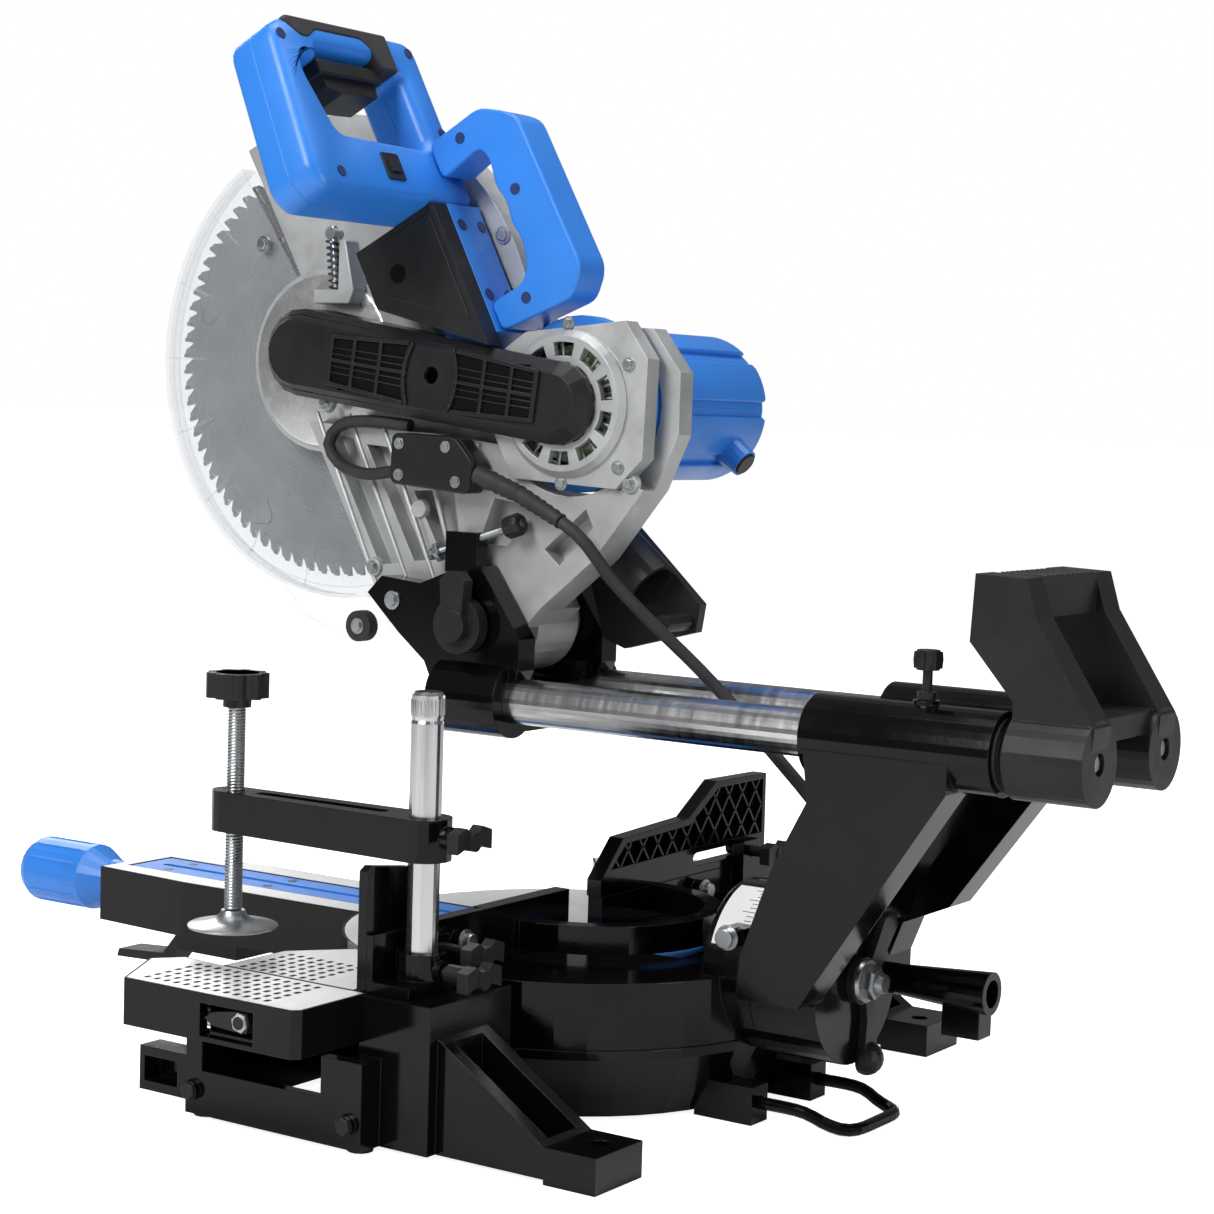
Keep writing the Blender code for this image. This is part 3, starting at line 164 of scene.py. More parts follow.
def plain(name, colour, roughness, metallic=0.0):
    made = bpy.data.materials.new(name)
    made.use_nodes = True
    shader = made.node_tree.nodes["Principled BSDF"]
    shader.inputs["Base Color"].default_value = (*colour, 1.0)
    shader.inputs["Roughness"].default_value = roughness
    shader.inputs["Metallic"].default_value = metallic
    return made


def scaled(colour, amount):
    return tuple(min(1.0, max(0.0, part * amount)) for part in colour)


def add_noise(tree, place, scale, detail):
    node = tree.nodes.new("ShaderNodeTexNoise")
    node.inputs["Scale"].default_value = scale
    node.inputs["Detail"].default_value = detail
    tree.links.new(place, node.inputs["Vector"])
    return node.outputs["Fac"]


def add_span(tree, value, new_low, new_high, low=0.0, high=1.0):
    node = tree.nodes.new("ShaderNodeMapRange")
    for socket, number in (
        ("From Min", low), ("From Max", high), ("To Min", new_low), ("To Max", new_high)
    ):
        node.inputs[socket].default_value = number
    tree.links.new(value, node.inputs["Value"])
    return node.outputs["Result"]


def surface(
    name,
    colour,
    rough,
    metal=0.0,
    coat=0.0,
    gloss=0.5,
    tint=0.12,
    tint_scale=30.0,
    grain_scale=1200.0,
    grain=0.08,
    spread=0.07,
    edge=0.6,
    wear=0.0,
    stretch=(1.0, 1.0, 1.0),
):
    """Moulded, painted or machined surface: blotches of tone, fine grain, worn and rounded edges."""
    made = bpy.data.materials.new(name)
    made.use_nodes = True
    tree = made.node_tree
    shader = tree.nodes["Principled BSDF"]
    shader.inputs["Metallic"].default_value = metal
    shader.inputs["Coat Weight"].default_value = coat
    shader.inputs["Specular IOR Level"].default_value = gloss
    shader.inputs["Coat Roughness"].default_value = 0.08
    place = tree.nodes.new("ShaderNodeTexCoord")
    mapping = tree.nodes.new("ShaderNodeMapping")
    mapping.inputs["Scale"].default_value = stretch
    tree.links.new(place.outputs["Object"], mapping.inputs["Vector"])

    def noise(scale, detail):
        return add_noise(tree, mapping.outputs["Vector"], scale, detail)

    def mix(share, first, second):
        node = tree.nodes.new("ShaderNodeMix")
        node.data_type = "RGBA"
        tree.links.new(share, node.inputs["Factor"])
        for socket, value in ((node.inputs["A"], first), (node.inputs["B"], second)):
            if isinstance(value, tuple):
                socket.default_value = (*value, 1.0)
            else:
                tree.links.new(value, socket)
        return node.outputs["Result"]

    tone = add_span(tree, noise(tint_scale, 4.0), 0.0, 1.0, 0.35, 0.65)
    base = mix(tone, scaled(colour, 1 - tint), scaled(colour, 1 + tint))
    rounding = tree.nodes.new("ShaderNodeBevel")
    rounding.samples = 4
    rounding.inputs["Radius"].default_value = edge * MM
    if wear:
        ground = tree.nodes.new("ShaderNodeNewGeometry")
        dot = tree.nodes.new("ShaderNodeVectorMath")
        dot.operation = "DOT_PRODUCT"
        tree.links.new(rounding.outputs["Normal"], dot.inputs[0])
        tree.links.new(ground.outputs["Normal"], dot.inputs[1])
        worn = add_span(tree, dot.outputs["Value"], 0.0, wear, 1.0, 0.75)
        base = mix(worn, base, scaled(tuple(part + 0.06 for part in colour), 1.7))
    tree.links.new(base, shader.inputs["Base Color"])
    patches = noise(tint_scale * 2.7, 5.0)
    smear = add_span(tree, patches, rough - spread, rough + spread, 0.3, 0.7)
    tree.links.new(smear, shader.inputs["Roughness"])
    bump = tree.nodes.new("ShaderNodeBump")
    bump.inputs["Strength"].default_value = grain
    bump.inputs["Distance"].default_value = 0.0004
    tree.links.new(noise(grain_scale, 3.0), bump.inputs["Height"])
    tree.links.new(rounding.outputs["Normal"], bump.inputs["Normal"])
    tree.links.new(bump.outputs["Normal"], shader.inputs["Normal"])
    return made


def blade_surface():
    """Ground steel disc: rings round the arbor, with the highlight running out from it."""
    made = surface("blade_steel_look", (0.50, 0.50, 0.51), 0.2, metal=1.0, grain=0.0, edge=0.15)
    tree = made.node_tree
    shader = tree.nodes["Principled BSDF"]
    shader.inputs["Anisotropic"].default_value = 0.65
    tangent = tree.nodes.new("ShaderNodeTangent")
    tangent.direction_type = "RADIAL"
    tangent.axis = "X"
    tree.links.new(tangent.outputs["Tangent"], shader.inputs["Tangent"])
    place = tree.nodes.new("ShaderNodeTexCoord")
    shift = tree.nodes.new("ShaderNodeVectorMath")
    shift.operation = "SUBTRACT"
    shift.inputs[1].default_value = at(0, ARBOR_Y, ARBOR_Z)
    flat = tree.nodes.new("ShaderNodeVectorMath")
    flat.operation = "MULTIPLY"
    flat.inputs[1].default_value = (0.0, 1.0, 1.0)
    length = tree.nodes.new("ShaderNodeVectorMath")
    length.operation = "LENGTH"
    rings = tree.nodes.new("ShaderNodeTexNoise")
    rings.noise_dimensions = "1D"
    rings.inputs["Scale"].default_value = 900.0
    rings.inputs["Detail"].default_value = 4.0
    tree.links.new(place.outputs["Object"], shift.inputs[0])
    tree.links.new(shift.outputs["Vector"], flat.inputs[0])
    tree.links.new(flat.outputs["Vector"], length.inputs[0])
    tree.links.new(length.outputs["Value"], rings.inputs["W"])
    rough = add_span(tree, rings.outputs["Fac"], 0.12, 0.34)
    tree.links.new(rough, shader.inputs["Roughness"])
    return made


def clear_surface():
    """Clear moulded plastic that whitens where it is seen edge on."""
    made = bpy.data.materials.new("clear_plastic_look")
    made.use_nodes = True
    tree = made.node_tree
    shader = tree.nodes["Principled BSDF"]
    shader.inputs["Base Color"].default_value = (0.62, 0.66, 0.71, 1.0)
    shader.inputs["IOR"].default_value = 1.46
    place = tree.nodes.new("ShaderNodeTexCoord")
    rough = add_span(tree, add_noise(tree, place.outputs["Object"], 18.0, 5.0), 0.03, 0.16)
    tree.links.new(rough, shader.inputs["Roughness"])
    facing = tree.nodes.new("ShaderNodeLayerWeight")
    facing.inputs["Blend"].default_value = 0.35
    solid = add_span(tree, facing.outputs["Facing"], 0.04, 0.5)
    tree.links.new(solid, shader.inputs["Alpha"])
    return made


LOOKS = {
    "black_paint": surface(
        "black_paint_look", (0.0022, 0.0022, 0.0026), 0.13, coat=0.16, gloss=0.17, tint=0.25,
        tint_scale=12, grain_scale=420, grain=0.10, spread=0.06, edge=1.0, wear=0.10,
    ),
    "black_plastic": surface(
        "black_plastic_look", (0.014, 0.014, 0.0155), 0.36, gloss=0.25, tint=0.18, tint_scale=20,
        grain_scale=2600, grain=0.22, edge=0.7, wear=0.16,
    ),
    "black_rubber": surface(
        "black_rubber_look", (0.016, 0.016, 0.018), 0.66, tint=0.2, tint_scale=45,
        grain_scale=3000, grain=0.2, edge=0.5, wear=0.12,
    ),
    "blue_plastic": surface(
        "blue_plastic_look", (0.026, 0.20, 0.68), 0.36, tint=0.06, tint_scale=14,
        grain_scale=2400, grain=0.14, edge=1.0, wear=0.22,
    ),
    "cast_aluminium": surface(
        "cast_aluminium_look", (0.43, 0.44, 0.44), 0.46, metal=0.5, tint=0.10, tint_scale=26,
        grain_scale=700, grain=0.32, spread=0.1, edge=0.9, wear=0.35,
    ),
    "chrome": surface(
        "chrome_look", (0.60, 0.60, 0.61), 0.22, metal=1.0, tint=0.05, tint_scale=9,
        grain_scale=900, grain=0.03, spread=0.05, edge=0.4, stretch=(1.0, 9.0, 1.0),
    ),
    "zinc_steel": surface(
        "zinc_steel_look", (0.45, 0.47, 0.48), 0.34, metal=1.0, tint=0.08, tint_scale=40,
        grain_scale=900, grain=0.08, edge=0.35,
    ),
    "blade_steel": blade_surface(),
    "clear_plastic": clear_surface(),
}
DECK = surface(
    "deck_silver", (0.72, 0.73, 0.73), 0.36, metal=0.35, tint=0.05, tint_scale=22,
    grain_scale=600, grain=0.1, edge=0.2, stretch=(1.0, 14.0, 1.0),
)
# Flat black: printed scale ticks and table marks, dark blade slots, and painted shade for the dark
# inside of the motor's vents, the box's hole and the belt cover's grille.
BLACK_PRINT_AND_SHADE = surface(
    "printed_black_and_painted_shade", (0.003, 0.003, 0.003), 0.6, gloss=0.08, tint=0.1, grain=0.03, edge=0.1
)
# Dark navy: painted shade in the screw recesses of the blue handles.
RECESS_SHADE = surface("recess_painted_shade_blue", (0.003, 0.022, 0.11), 0.5, tint=0.1, grain=0.03, edge=0.1)
LABEL = surface("label_white", (0.78, 0.78, 0.77), 0.42, tint=0.03, grain=0.03, edge=0.1)
CARBIDE = surface("carbide_grey", (0.34, 0.34, 0.36), 0.3, metal=1.0, grain=0.06, edge=0.1)
WINDING = surface(
    "winding_green", (0.52, 0.63, 0.44), 0.5, tint=0.25, tint_scale=160, grain_scale=1500,
    grain=0.5, edge=0.1,
)
SPRING = surface("spring_dark", (0.10, 0.10, 0.11), 0.3, metal=1.0, grain=0.04, edge=0.1)
MACHINED = surface(
    "machined_aluminium", (0.72, 0.73, 0.73), 0.26, metal=0.9, tint=0.05, tint_scale=40,
    grain_scale=900, grain=0.06, edge=0.3,
)


def dress_frame():
    """Every CAD node gets the detailed look of its own slot."""
    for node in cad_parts.values():
        slot = node.data.materials[0].name.split(".")[0]
        for index in range(len(node.data.materials)):
            node.data.materials[index] = LOOKS[slot]
        node.data.shade_smooth()
        node.data.set_sharp_from_angle(angle=math.radians(SMOOTH_ANGLE))


# ---- outlines and shapes, in millimetres


def along_x(a, b, c):
    return Vector((c, a, b))


def along_y(a, b, c):
    return Vector((a, c, b))


def along_z(a, b, c):
    return Vector((a, b, c))


def lean_point(x, s, n):
    """Place of a point given across the handle, down its line and out of its rear side."""
    return Vector((x, LEAN_Y + LEAN_SIN * s + LEAN_COS * n, LEAN_Z - LEAN_COS * s + LEAN_SIN * n))


def lean_side(s, n, x):
    return lean_point(x, s, n)


def arc(a, b, radius, start, end, steps):
    return [spoke(a, b, radius, start + (end - start) * i / steps) for i in range(steps + 1)]


def spoke(a, b, radius, degrees):
    """Point at a radius and an angle from (a, b)."""
    angle = math.radians(degrees)
    return (a + radius * math.cos(angle), b + radius * math.sin(angle))


def circle(a, b, radius, steps=24):
    return arc(a, b, radius, 0.0, 360.0, steps)[:-1]


def rounded(a0, a1, b0, b1, radius, steps=4):
    points = []
    for a, b, start in ((a1, b1, 0), (a0, b1, 90), (a0, b0, 180), (a1, b0, 270)):
        inner_a = a - radius if a == a1 else a + radius
        inner_b = b - radius if b == b1 else b + radius
        points += arc(inner_a, inner_b, radius, start, start + 90, steps)
    return points


def bridge(shape, first, second):
    """Strip of faces between two rings of equal point count."""
    for i in range(len(first)):
        j = (i + 1) % len(first)
        shape.faces.new((first[i], first[j], second[j], second[i]))


def closed(shape, rings):
    """Solid of rings of equal point count, each joined to the next, with the two ends filled."""
    for lower, upper in zip(rings, rings[1:]):
        bridge(shape, lower, upper)
    shape.faces.new(rings[0])
    shape.faces.new(rings[-1])
    bmesh.ops.recalc_face_normals(shape, faces=shape.faces)
    return shape


def loft(outlines, heights, frame_of):
    """Solid through outlines of equal point count, each at its height."""
    shape = bmesh.new()
    rings = []
    for outline, height in zip(outlines, heights):
        rings.append([shape.verts.new(frame_of(a, b, height)) for a, b in outline])
    return closed(shape, rings)


def prism(outline, low, high, frame_of):
    return loft([outline, outline], [low, high], frame_of)


def lathe(profile, centre, frame_of, sides=32):
    """Closed profile of (radius, height) points turned about the frame's third axis."""
    shape = bmesh.new()
    rings = []
    for radius, height in profile:
        if radius == 0:
            rings.append([shape.verts.new(frame_of(centre[0], centre[1], height))])
            continue
        points = circle(centre[0], centre[1], radius, sides)
        rings.append([shape.verts.new(frame_of(a, b, height)) for a, b in points])
    for lower, upper in zip(rings, rings[1:] + rings[:1]):
        if len(lower) == 1 and len(upper) == 1:
            continue
        for i in range(sides):
            j = (i + 1) % sides
            corners = [lower[i % len(lower)], lower[j % len(lower)]]
            corners += [upper[j % len(upper)], upper[i % len(upper)]]
            face = []
            for corner in corners:
                if corner not in face:
                    face.append(corner)
            shape.faces.new(face)
    bmesh.ops.recalc_face_normals(shape, faces=shape.faces)
    return shape


def stack(start, end, sections, sides=24):
    """Round solid of (share of the way, radius) sections between two points."""
    start, end = Vector(start), Vector(end)
    along = (end - start).normalized()
    across = along.orthogonal().normalized()
    other = along.cross(across)
    shape = bmesh.new()
    rings = []
    for share, radius in sections:
        middle = start.lerp(end, share)
        points = circle(0, 0, radius, sides)
        rings.append([shape.verts.new(middle + across * a + other * b) for a, b in points])
    return closed(shape, rings)


def hex_head(place, direction, across, height, washer=0.0, socket=False):
    """Screw head, a hexagon or round as a socket screw's, on a washer where one is given."""
    place, direction = Vector(place), Vector(direction).normalized()
    shapes = []
    if washer:
        shapes.append(stack(place, place + direction * 1.2, [(0, washer), (1, washer)], 20))
        place = place + direction * 1.2
    top = place + direction * height
    end, sides = (0.9, 20) if socket else (0.86, 6)
    shapes.append(stack(place, top, [(0, across), (0.85, across), (1, across * end)], sides))
    return shapes


def tube(route, radius, sides=10):
    """Swept round bar through points, with closed ends."""
    route = [Vector(point) for point in route]
    shape = bmesh.new()
    rings = []
    previous = None
    for index, point in enumerate(route):
        before = route[max(0, index - 1)]
        after = route[min(len(route) - 1, index + 1)]
        along = (after - before).normalized()
        across = along.orthogonal() if previous is None else previous - along * previous.dot(along)
        across.normalize()
        previous = across
        other = along.cross(across)
        points = circle(0, 0, radius, sides)
        rings.append([shape.verts.new(point + across * a + other * b) for a, b in points])
    return closed(shape, rings)


def piece(name, body, slot, shapes, stands_for=(), look=None, bevel=0.0, angle=SMOOTH_ANGLE):
    """Piece of joined shapes that rides on a body, in its slot's look unless one is given."""
    joined = bmesh.new()
    for shape in shapes:
        part = bpy.data.meshes.new("part")
        shape.to_mesh(part)
        shape.free()
        joined.from_mesh(part)
        bpy.data.meshes.remove(part)
    for corner in joined.verts:
        corner.co = at(*corner.co)
    mesh = bpy.data.meshes.new(name)
    joined.to_mesh(mesh)
    joined.free()
    mesh.materials.append(look or LOOKS[slot])
    mesh.shade_smooth()
    mesh.set_sharp_from_angle(angle=math.radians(angle))
    made = bpy.data.objects.new(name, mesh)
    bpy.context.scene.collection.objects.link(made)
    if bevel:
        soften = made.modifiers.new("edges", "BEVEL")
        soften.width = bevel * MM
        soften.segments = 2
        soften.limit_method = "ANGLE"
        soften.angle_limit = math.radians(SOFTEN_ANGLE)
    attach(made, body)
    if stands_for:
        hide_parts(*stands_for)
    return made


# ---- rounded outlines, frames and threads


def fillet(points, radius, steps=4):
    """Outline with each corner rounded."""
    result = []
    count = len(points)
    for i in range(count):
        corner = Vector(points[i])
        before = Vector(points[i - 1]) - corner
        after = Vector(points[(i + 1) % count]) - corner
        reach = min(radius, before.length * 0.45, after.length * 0.45)
        start = corner + before.normalized() * reach
        end = corner + after.normalized() * reach
        for step in range(steps + 1):
            t = step / steps
            point = start.lerp(corner, t).lerp(corner.lerp(end, t), t)
            result.append((point.x, point.y))
    return result


def travelled_along(points):
    """Distance from the first point to each of the points, along them."""
    travelled = [0.0]
    for before, after in zip(points, points[1:]):
        travelled.append(travelled[-1] + (after - before).length)
    return travelled


def resample(points, count):
    """Outline of evenly spaced points, begun nearest to the corner of least sum."""
    first = min(range(len(points)), key=lambda i: points[i][0] + points[i][1])
    loop = [Vector(point) for point in points[first:] + points[:first]]
    loop.append(loop[0])
    travelled = travelled_along(loop)
    result = []
    index = 0
    for step in range(count):
        wanted = travelled[-1] * step / count
        while travelled[index + 1] < wanted:
            index += 1
        share = (wanted - travelled[index]) / max(1e-6, travelled[index + 1] - travelled[index])
        point = loop[index].lerp(loop[index + 1], share)
        result.append((point.x, point.y))
    return result


def inset(outline, amount):
    """Outline moved to its left by an amount, which is inwards where it runs anticlockwise."""
    result = []
    count = len(outline)
    for i in range(count):
        run = Vector(outline[(i + 1) % count]) - Vector(outline[i - 1])
        run.normalize()
        result.append((outline[i][0] - run.y * amount, outline[i][1] + run.x * amount))
    return result


def frame_ring(outer, inner, levels, frame_of):
    """Frame between two outlines of equal point count, drawn in by an amount at each level."""
    shape = bmesh.new()
    rows = []
    for height, shrink in levels:
        row = []
        for line in (inset(outer, shrink), inset(inner, -shrink)):
            row.append([shape.verts.new(frame_of(a, b, height)) for a, b in line])
        rows.append(row)
    strips = [(rows[0][0], rows[0][1]), (rows[-1][0], rows[-1][1])]
    for lower, upper in zip(rows, rows[1:]):
        strips += [(lower[0], upper[0]), (lower[1], upper[1])]
    for a, b in strips:
        bridge(shape, a, b)
    bmesh.ops.recalc_face_normals(shape, faces=shape.faces)
    return shape


def threaded(start, end, radius, depth, pitch, sides=16):
    """Screw thread between two points."""
    start, end = Vector(start), Vector(end)
    axis = end - start
    along = axis.normalized()
    across = along.orthogonal().normalized()
    other = along.cross(across)
    rows = int(axis.length / (pitch / 4))
    shape = bmesh.new()
    rings = []
    for row in range(rows + 1):
        height = axis.length * row / rows
        ring = []
        for side in range(sides):
            turn = side / sides
            phase = (height / pitch - turn) % 1.0
            size = radius - depth * abs(2 * phase - 1)
            angle = 2 * math.pi * turn
            spoke = across * math.cos(angle) + other * math.sin(angle)
            ring.append(shape.verts.new(start + along * height + spoke * size))
        rings.append(ring)
    return closed(shape, rings)


def flip(outline, side):
    return outline if side > 0 else [(-a, b) for a, b in outline]


# ---- blade and guards


def add_blade():
    pitch = 360 / TEETH
    shape = bmesh.new()
    sides = []
    for x in (BLADE_HALF, -BLADE_HALF):
        rim, mid, hub, bore = [], [], [], []
        for i in range(TEETH):
            for share, radius in TOOTH:
                for ring, size in ((rim, radius), (mid, 138.0), (hub, 70.0), (bore, 8.6)):
                    place = spoke(ARBOR_Y, ARBOR_Z, size, (i + share) * pitch)
                    ring.append(shape.verts.new((x, *place)))
        sides.append((rim, mid, hub, bore))
        for outer, inner in ((rim, mid), (mid, hub), (hub, bore)):
            bridge(shape, outer, inner)
    for ring in (0, 3):
        bridge(shape, sides[0][ring], sides[1][ring])
    bmesh.ops.recalc_face_normals(shape, faces=shape.faces)
    slots = []
    for i in range(5):
        line = []
        for step in range(9):
            reach = i * 72 + 20 + 5.0 * math.sin(step / 8 * math.pi)
            line.append((1.0, *spoke(ARBOR_Y, ARBOR_Z, 143 - step * 2.6, reach)))
        slots.append(tube(line, 0.25, 6))
    piece("blade_disc", "blade", "blade_steel", [shape], stands_for=("saw_blade",), angle=20)
    piece("blade_slots", "blade", "blade_steel", slots, look=BLACK_PRINT_AND_SHADE)
    tips = []
    for i in range(TEETH):
        start, end = (i + 0.72) * pitch, (i + 0.955) * pitch
        outline = arc(ARBOR_Y, ARBOR_Z, 152.45, start, end, 1)
        outline += arc(ARBOR_Y, ARBOR_Z, 148.2, end, start, 1)
        tips.append(prism(outline, -TIP_HALF, TIP_HALF, along_x))
    piece("blade_tips", "blade", "blade_steel", tips, look=CARBIDE)


def add_guard_details():
    ribs = []
    for angle in range(140, 280, 20):
        near = (GUARD_X, *spoke(ARBOR_Y, ARBOR_Z, 128, angle))
        far = (GUARD_X, *spoke(ARBOR_Y, ARBOR_Z, 164, angle))
        ribs.append(stack(near, far, [(0, 0.4), (0.2, 0.8), (1, 0.8)], 8))
    rim = [(GUARD_X, y, z) for y, z in arc(ARBOR_Y, ARBOR_Z, 160, 128, 282, 60)]
    ribs.append(tube(rim, 0.7, 8))
    rim = [(-9.3, y, z) for y, z in arc(ARBOR_Y, ARBOR_Z, 166.8, 127, 283, 60)]
    ribs.append(tube(rim, 0.8, 8))
    piece("guard_ribs", "lower_guard", "clear_plastic", ribs)
    bolt = hex_head((13.6, *spoke(ARBOR_Y, ARBOR_Z, 188, -81)), (1, 0, 0), 4.0, 2.2, washer=5.6)
    piece("roller_bolt", "guard_roller", "zinc_steel", bolt)
    hub = stack((22.2, ARBOR_Y, ARBOR_Z), (24.2, ARBOR_Y, ARBOR_Z), [(0, 60), (0.7, 60), (1, 58)], 64)
    piece("guard_hub", "head", "cast_aluminium", [hub], look=MACHINED)


# ---- head


def add_arm_details():
    ribs = []
    for (y0, z0), (y1, z1) in (
        ((-205, 437), (-148, 320)),
        ((-176, 436), (-122, 326)),
        ((-146, 430), (-96, 322)),
        ((-112, 424), (-80, 330)),
    ):
        ribs.append(stack((38.2, y0, z0), (38.2, y1, z1), [(0, 1.6), (0.5, 2.0), (1, 1.6)], 8))
    for y, z in ((-196, 444), (-150, 332), (-112, 374), (58, 398)):
        ribs.append(stack((36.5, y, z), (40.4, y, z), [(0, 7.4), (0.8, 6.4), (1, 5.8)], 20))
    piece("arm_ribs", "head", "cast_aluminium", ribs)
    bolts = []
    for y, z in ((-196, 444), (-150, 332), (58, 398)):
        bolts += hex_head((40.2, y, z), (1, 0, 0), 3.6, 2.4, washer=4.6)
    for x, y, z in ((8.6, -283, 556), (8.6, -140, 622), (8.6, -70, 560)):
        bolts += hex_head((x, y, z), (1, 0, 0), 4.2, 2.4, washer=6.0)
    for y, z in ((-41, 428), (-41, 472), (58, 474), (52, 408), (10, 500), (8, 396)):
        bolts += hex_head((43.8, y, z), (1, 0, 0), 3.4, 2.2, washer=4.6)
    piece("head_bolts", "head", "zinc_steel", bolts)
    spring = []
    coil_steps, steps_a_turn = 90, 12
    for step in range(coil_steps + 1):
        angle = step / steps_a_turn * 2 * math.pi
        share = step / coil_steps
        y = -196 - 4 * share + 5.2 * math.cos(angle)
        spring.append((30 + 5.2 * math.sin(angle), y, 522 + 34 * share))
    shapes = [tube(spring, 1.0, 6)]
    piece("guard_spring", "head", "zinc_steel", shapes, look=SPRING)
    posts = [
        stack((30, -196, 516), (30, -200.6, 566), [(0, 3.4), (0.9, 3.4), (1, 2.6)], 14),
        stack((24, -200.5, 561), (34, -200.5, 561), [(0, 4.4), (1, 4.4)], 14),
    ]
    piece("spring_post", "head", "zinc_steel", posts)
    block = [(-212, 512), (-180, 512), (-176, 522), (-184, 556), (-190, 556)]
    block += [(-190, 522), (-212, 522)]
    piece("spring_seat", "head", "cast_aluminium", [prism(block, 22.5, 37, along_x)], bevel=1.0)


def add_motor_details():
    turns = []
    for radius, x in ((36, 27.5), (30, 27.5), (36, 33), (30, 33)):
        line = [(x, y, z) for y, z in arc(MOTOR_Y, MOTOR_Z, radius, 0, 357, 40)]
        turns.append(tube(line, 3.0, 8))
    for i in range(24):
        near = (36.5, *spoke(MOTOR_Y, MOTOR_Z, 26, i * 15))
        far = (36.5, *spoke(MOTOR_Y, MOTOR_Z, 40, i * 15))
        turns.append(stack(near, far, [(0, 1.1), (1, 1.1)], 6))
    piece("field_winding", "head", "cast_aluminium", turns, look=WINDING)
    rings = []
    for radius in (29.0, 36.5):
        low, high = radius - 1.5, radius + 1.5
        section = [(41.2, low), (43.4, low), (43.4, high), (41.2, high)]
        rings.append(lathe(section, (MOTOR_Y, MOTOR_Z), along_x, 64))
    for i in range(24):
        near = (42.2, *spoke(MOTOR_Y, MOTOR_Z, 23, i * 15 + 7.5))
        far = (42.2, *spoke(MOTOR_Y, MOTOR_Z, 42, i * 15 + 7.5))
        rings.append(stack(near, far, [(0, 1.0), (1, 1.0)], 6))
    piece("grille_rings", "head", "cast_aluminium", rings, bevel=0.3)
    panels = []
    for i in range(8):
        start = i * 45 + 6
        outline = arc(MOTOR_Y, MOTOR_Z, 50.6, start, start + 33, 6)
        outline += arc(MOTOR_Y, MOTOR_Z, 46.0, start + 33, start, 6)
        narrow = arc(MOTOR_Y, MOTOR_Z, 48.4, start + 2, start + 31, 6)
        narrow += arc(MOTOR_Y, MOTOR_Z, 46.0, start + 31, start + 2, 6)
        panels.append(loft([narrow, outline, outline, narrow], [-131, -124, -2, 6], along_x))
    piece("motor_panels", "head", "blue_plastic", panels, bevel=1.2)
    # Flat black sheets in the end cap's vent openings: painted shade for the dark inside.
    vents = []
    for i in range(12):
        outline = arc(MOTOR_Y, MOTOR_Z, 31, i * 30 + 4, i * 30 + 22, 3)
        outline += arc(MOTOR_Y, MOTOR_Z, 22, i * 30 + 22, i * 30 + 4, 3)
        vents.append(prism(outline, -150.2, -149.4, along_x))
    piece("motor_vent_shade", "head", "black_plastic", vents, look=BLACK_PRINT_AND_SHADE)
    caps = []
    for y0, z0, y1, z1 in ((42, 425, 62, 411), (-22, 471, -42, 485)):
        start, end = Vector((-98, y0, z0)), Vector((-98, y1, z1))
        out = (end - start).normalized()
        caps.append(stack(end - out * 1, end + out * 1.6, [(0, 8.6), (0.7, 8.6), (1, 7.6)], 20))
    piece("brush_caps", "head", "black_plastic", caps)


def cover_line(u, v):
    """Place on the belt cover's face: u along the drive from its middle, v across it."""
    return (COVER_Y + u * COVER_COS + v * COVER_SIN, COVER_Z - u * COVER_SIN + v * COVER_COS)


def cover_bar(points, width, low, high):
    """Flat bar along a line on the cover's face."""
    shape = []
    for start, end in zip(points, points[1:]):
        a, b = Vector(start), Vector(end)
        side = Vector((-(b - a).y, (b - a).x)).normalized() * width / 2
        outline = [cover_line(*(a + side)), cover_line(*(b + side))]
        outline += [cover_line(*(b - side)), cover_line(*(a - side))]
        shape.append(prism(outline, low, high, along_x))
    return shape


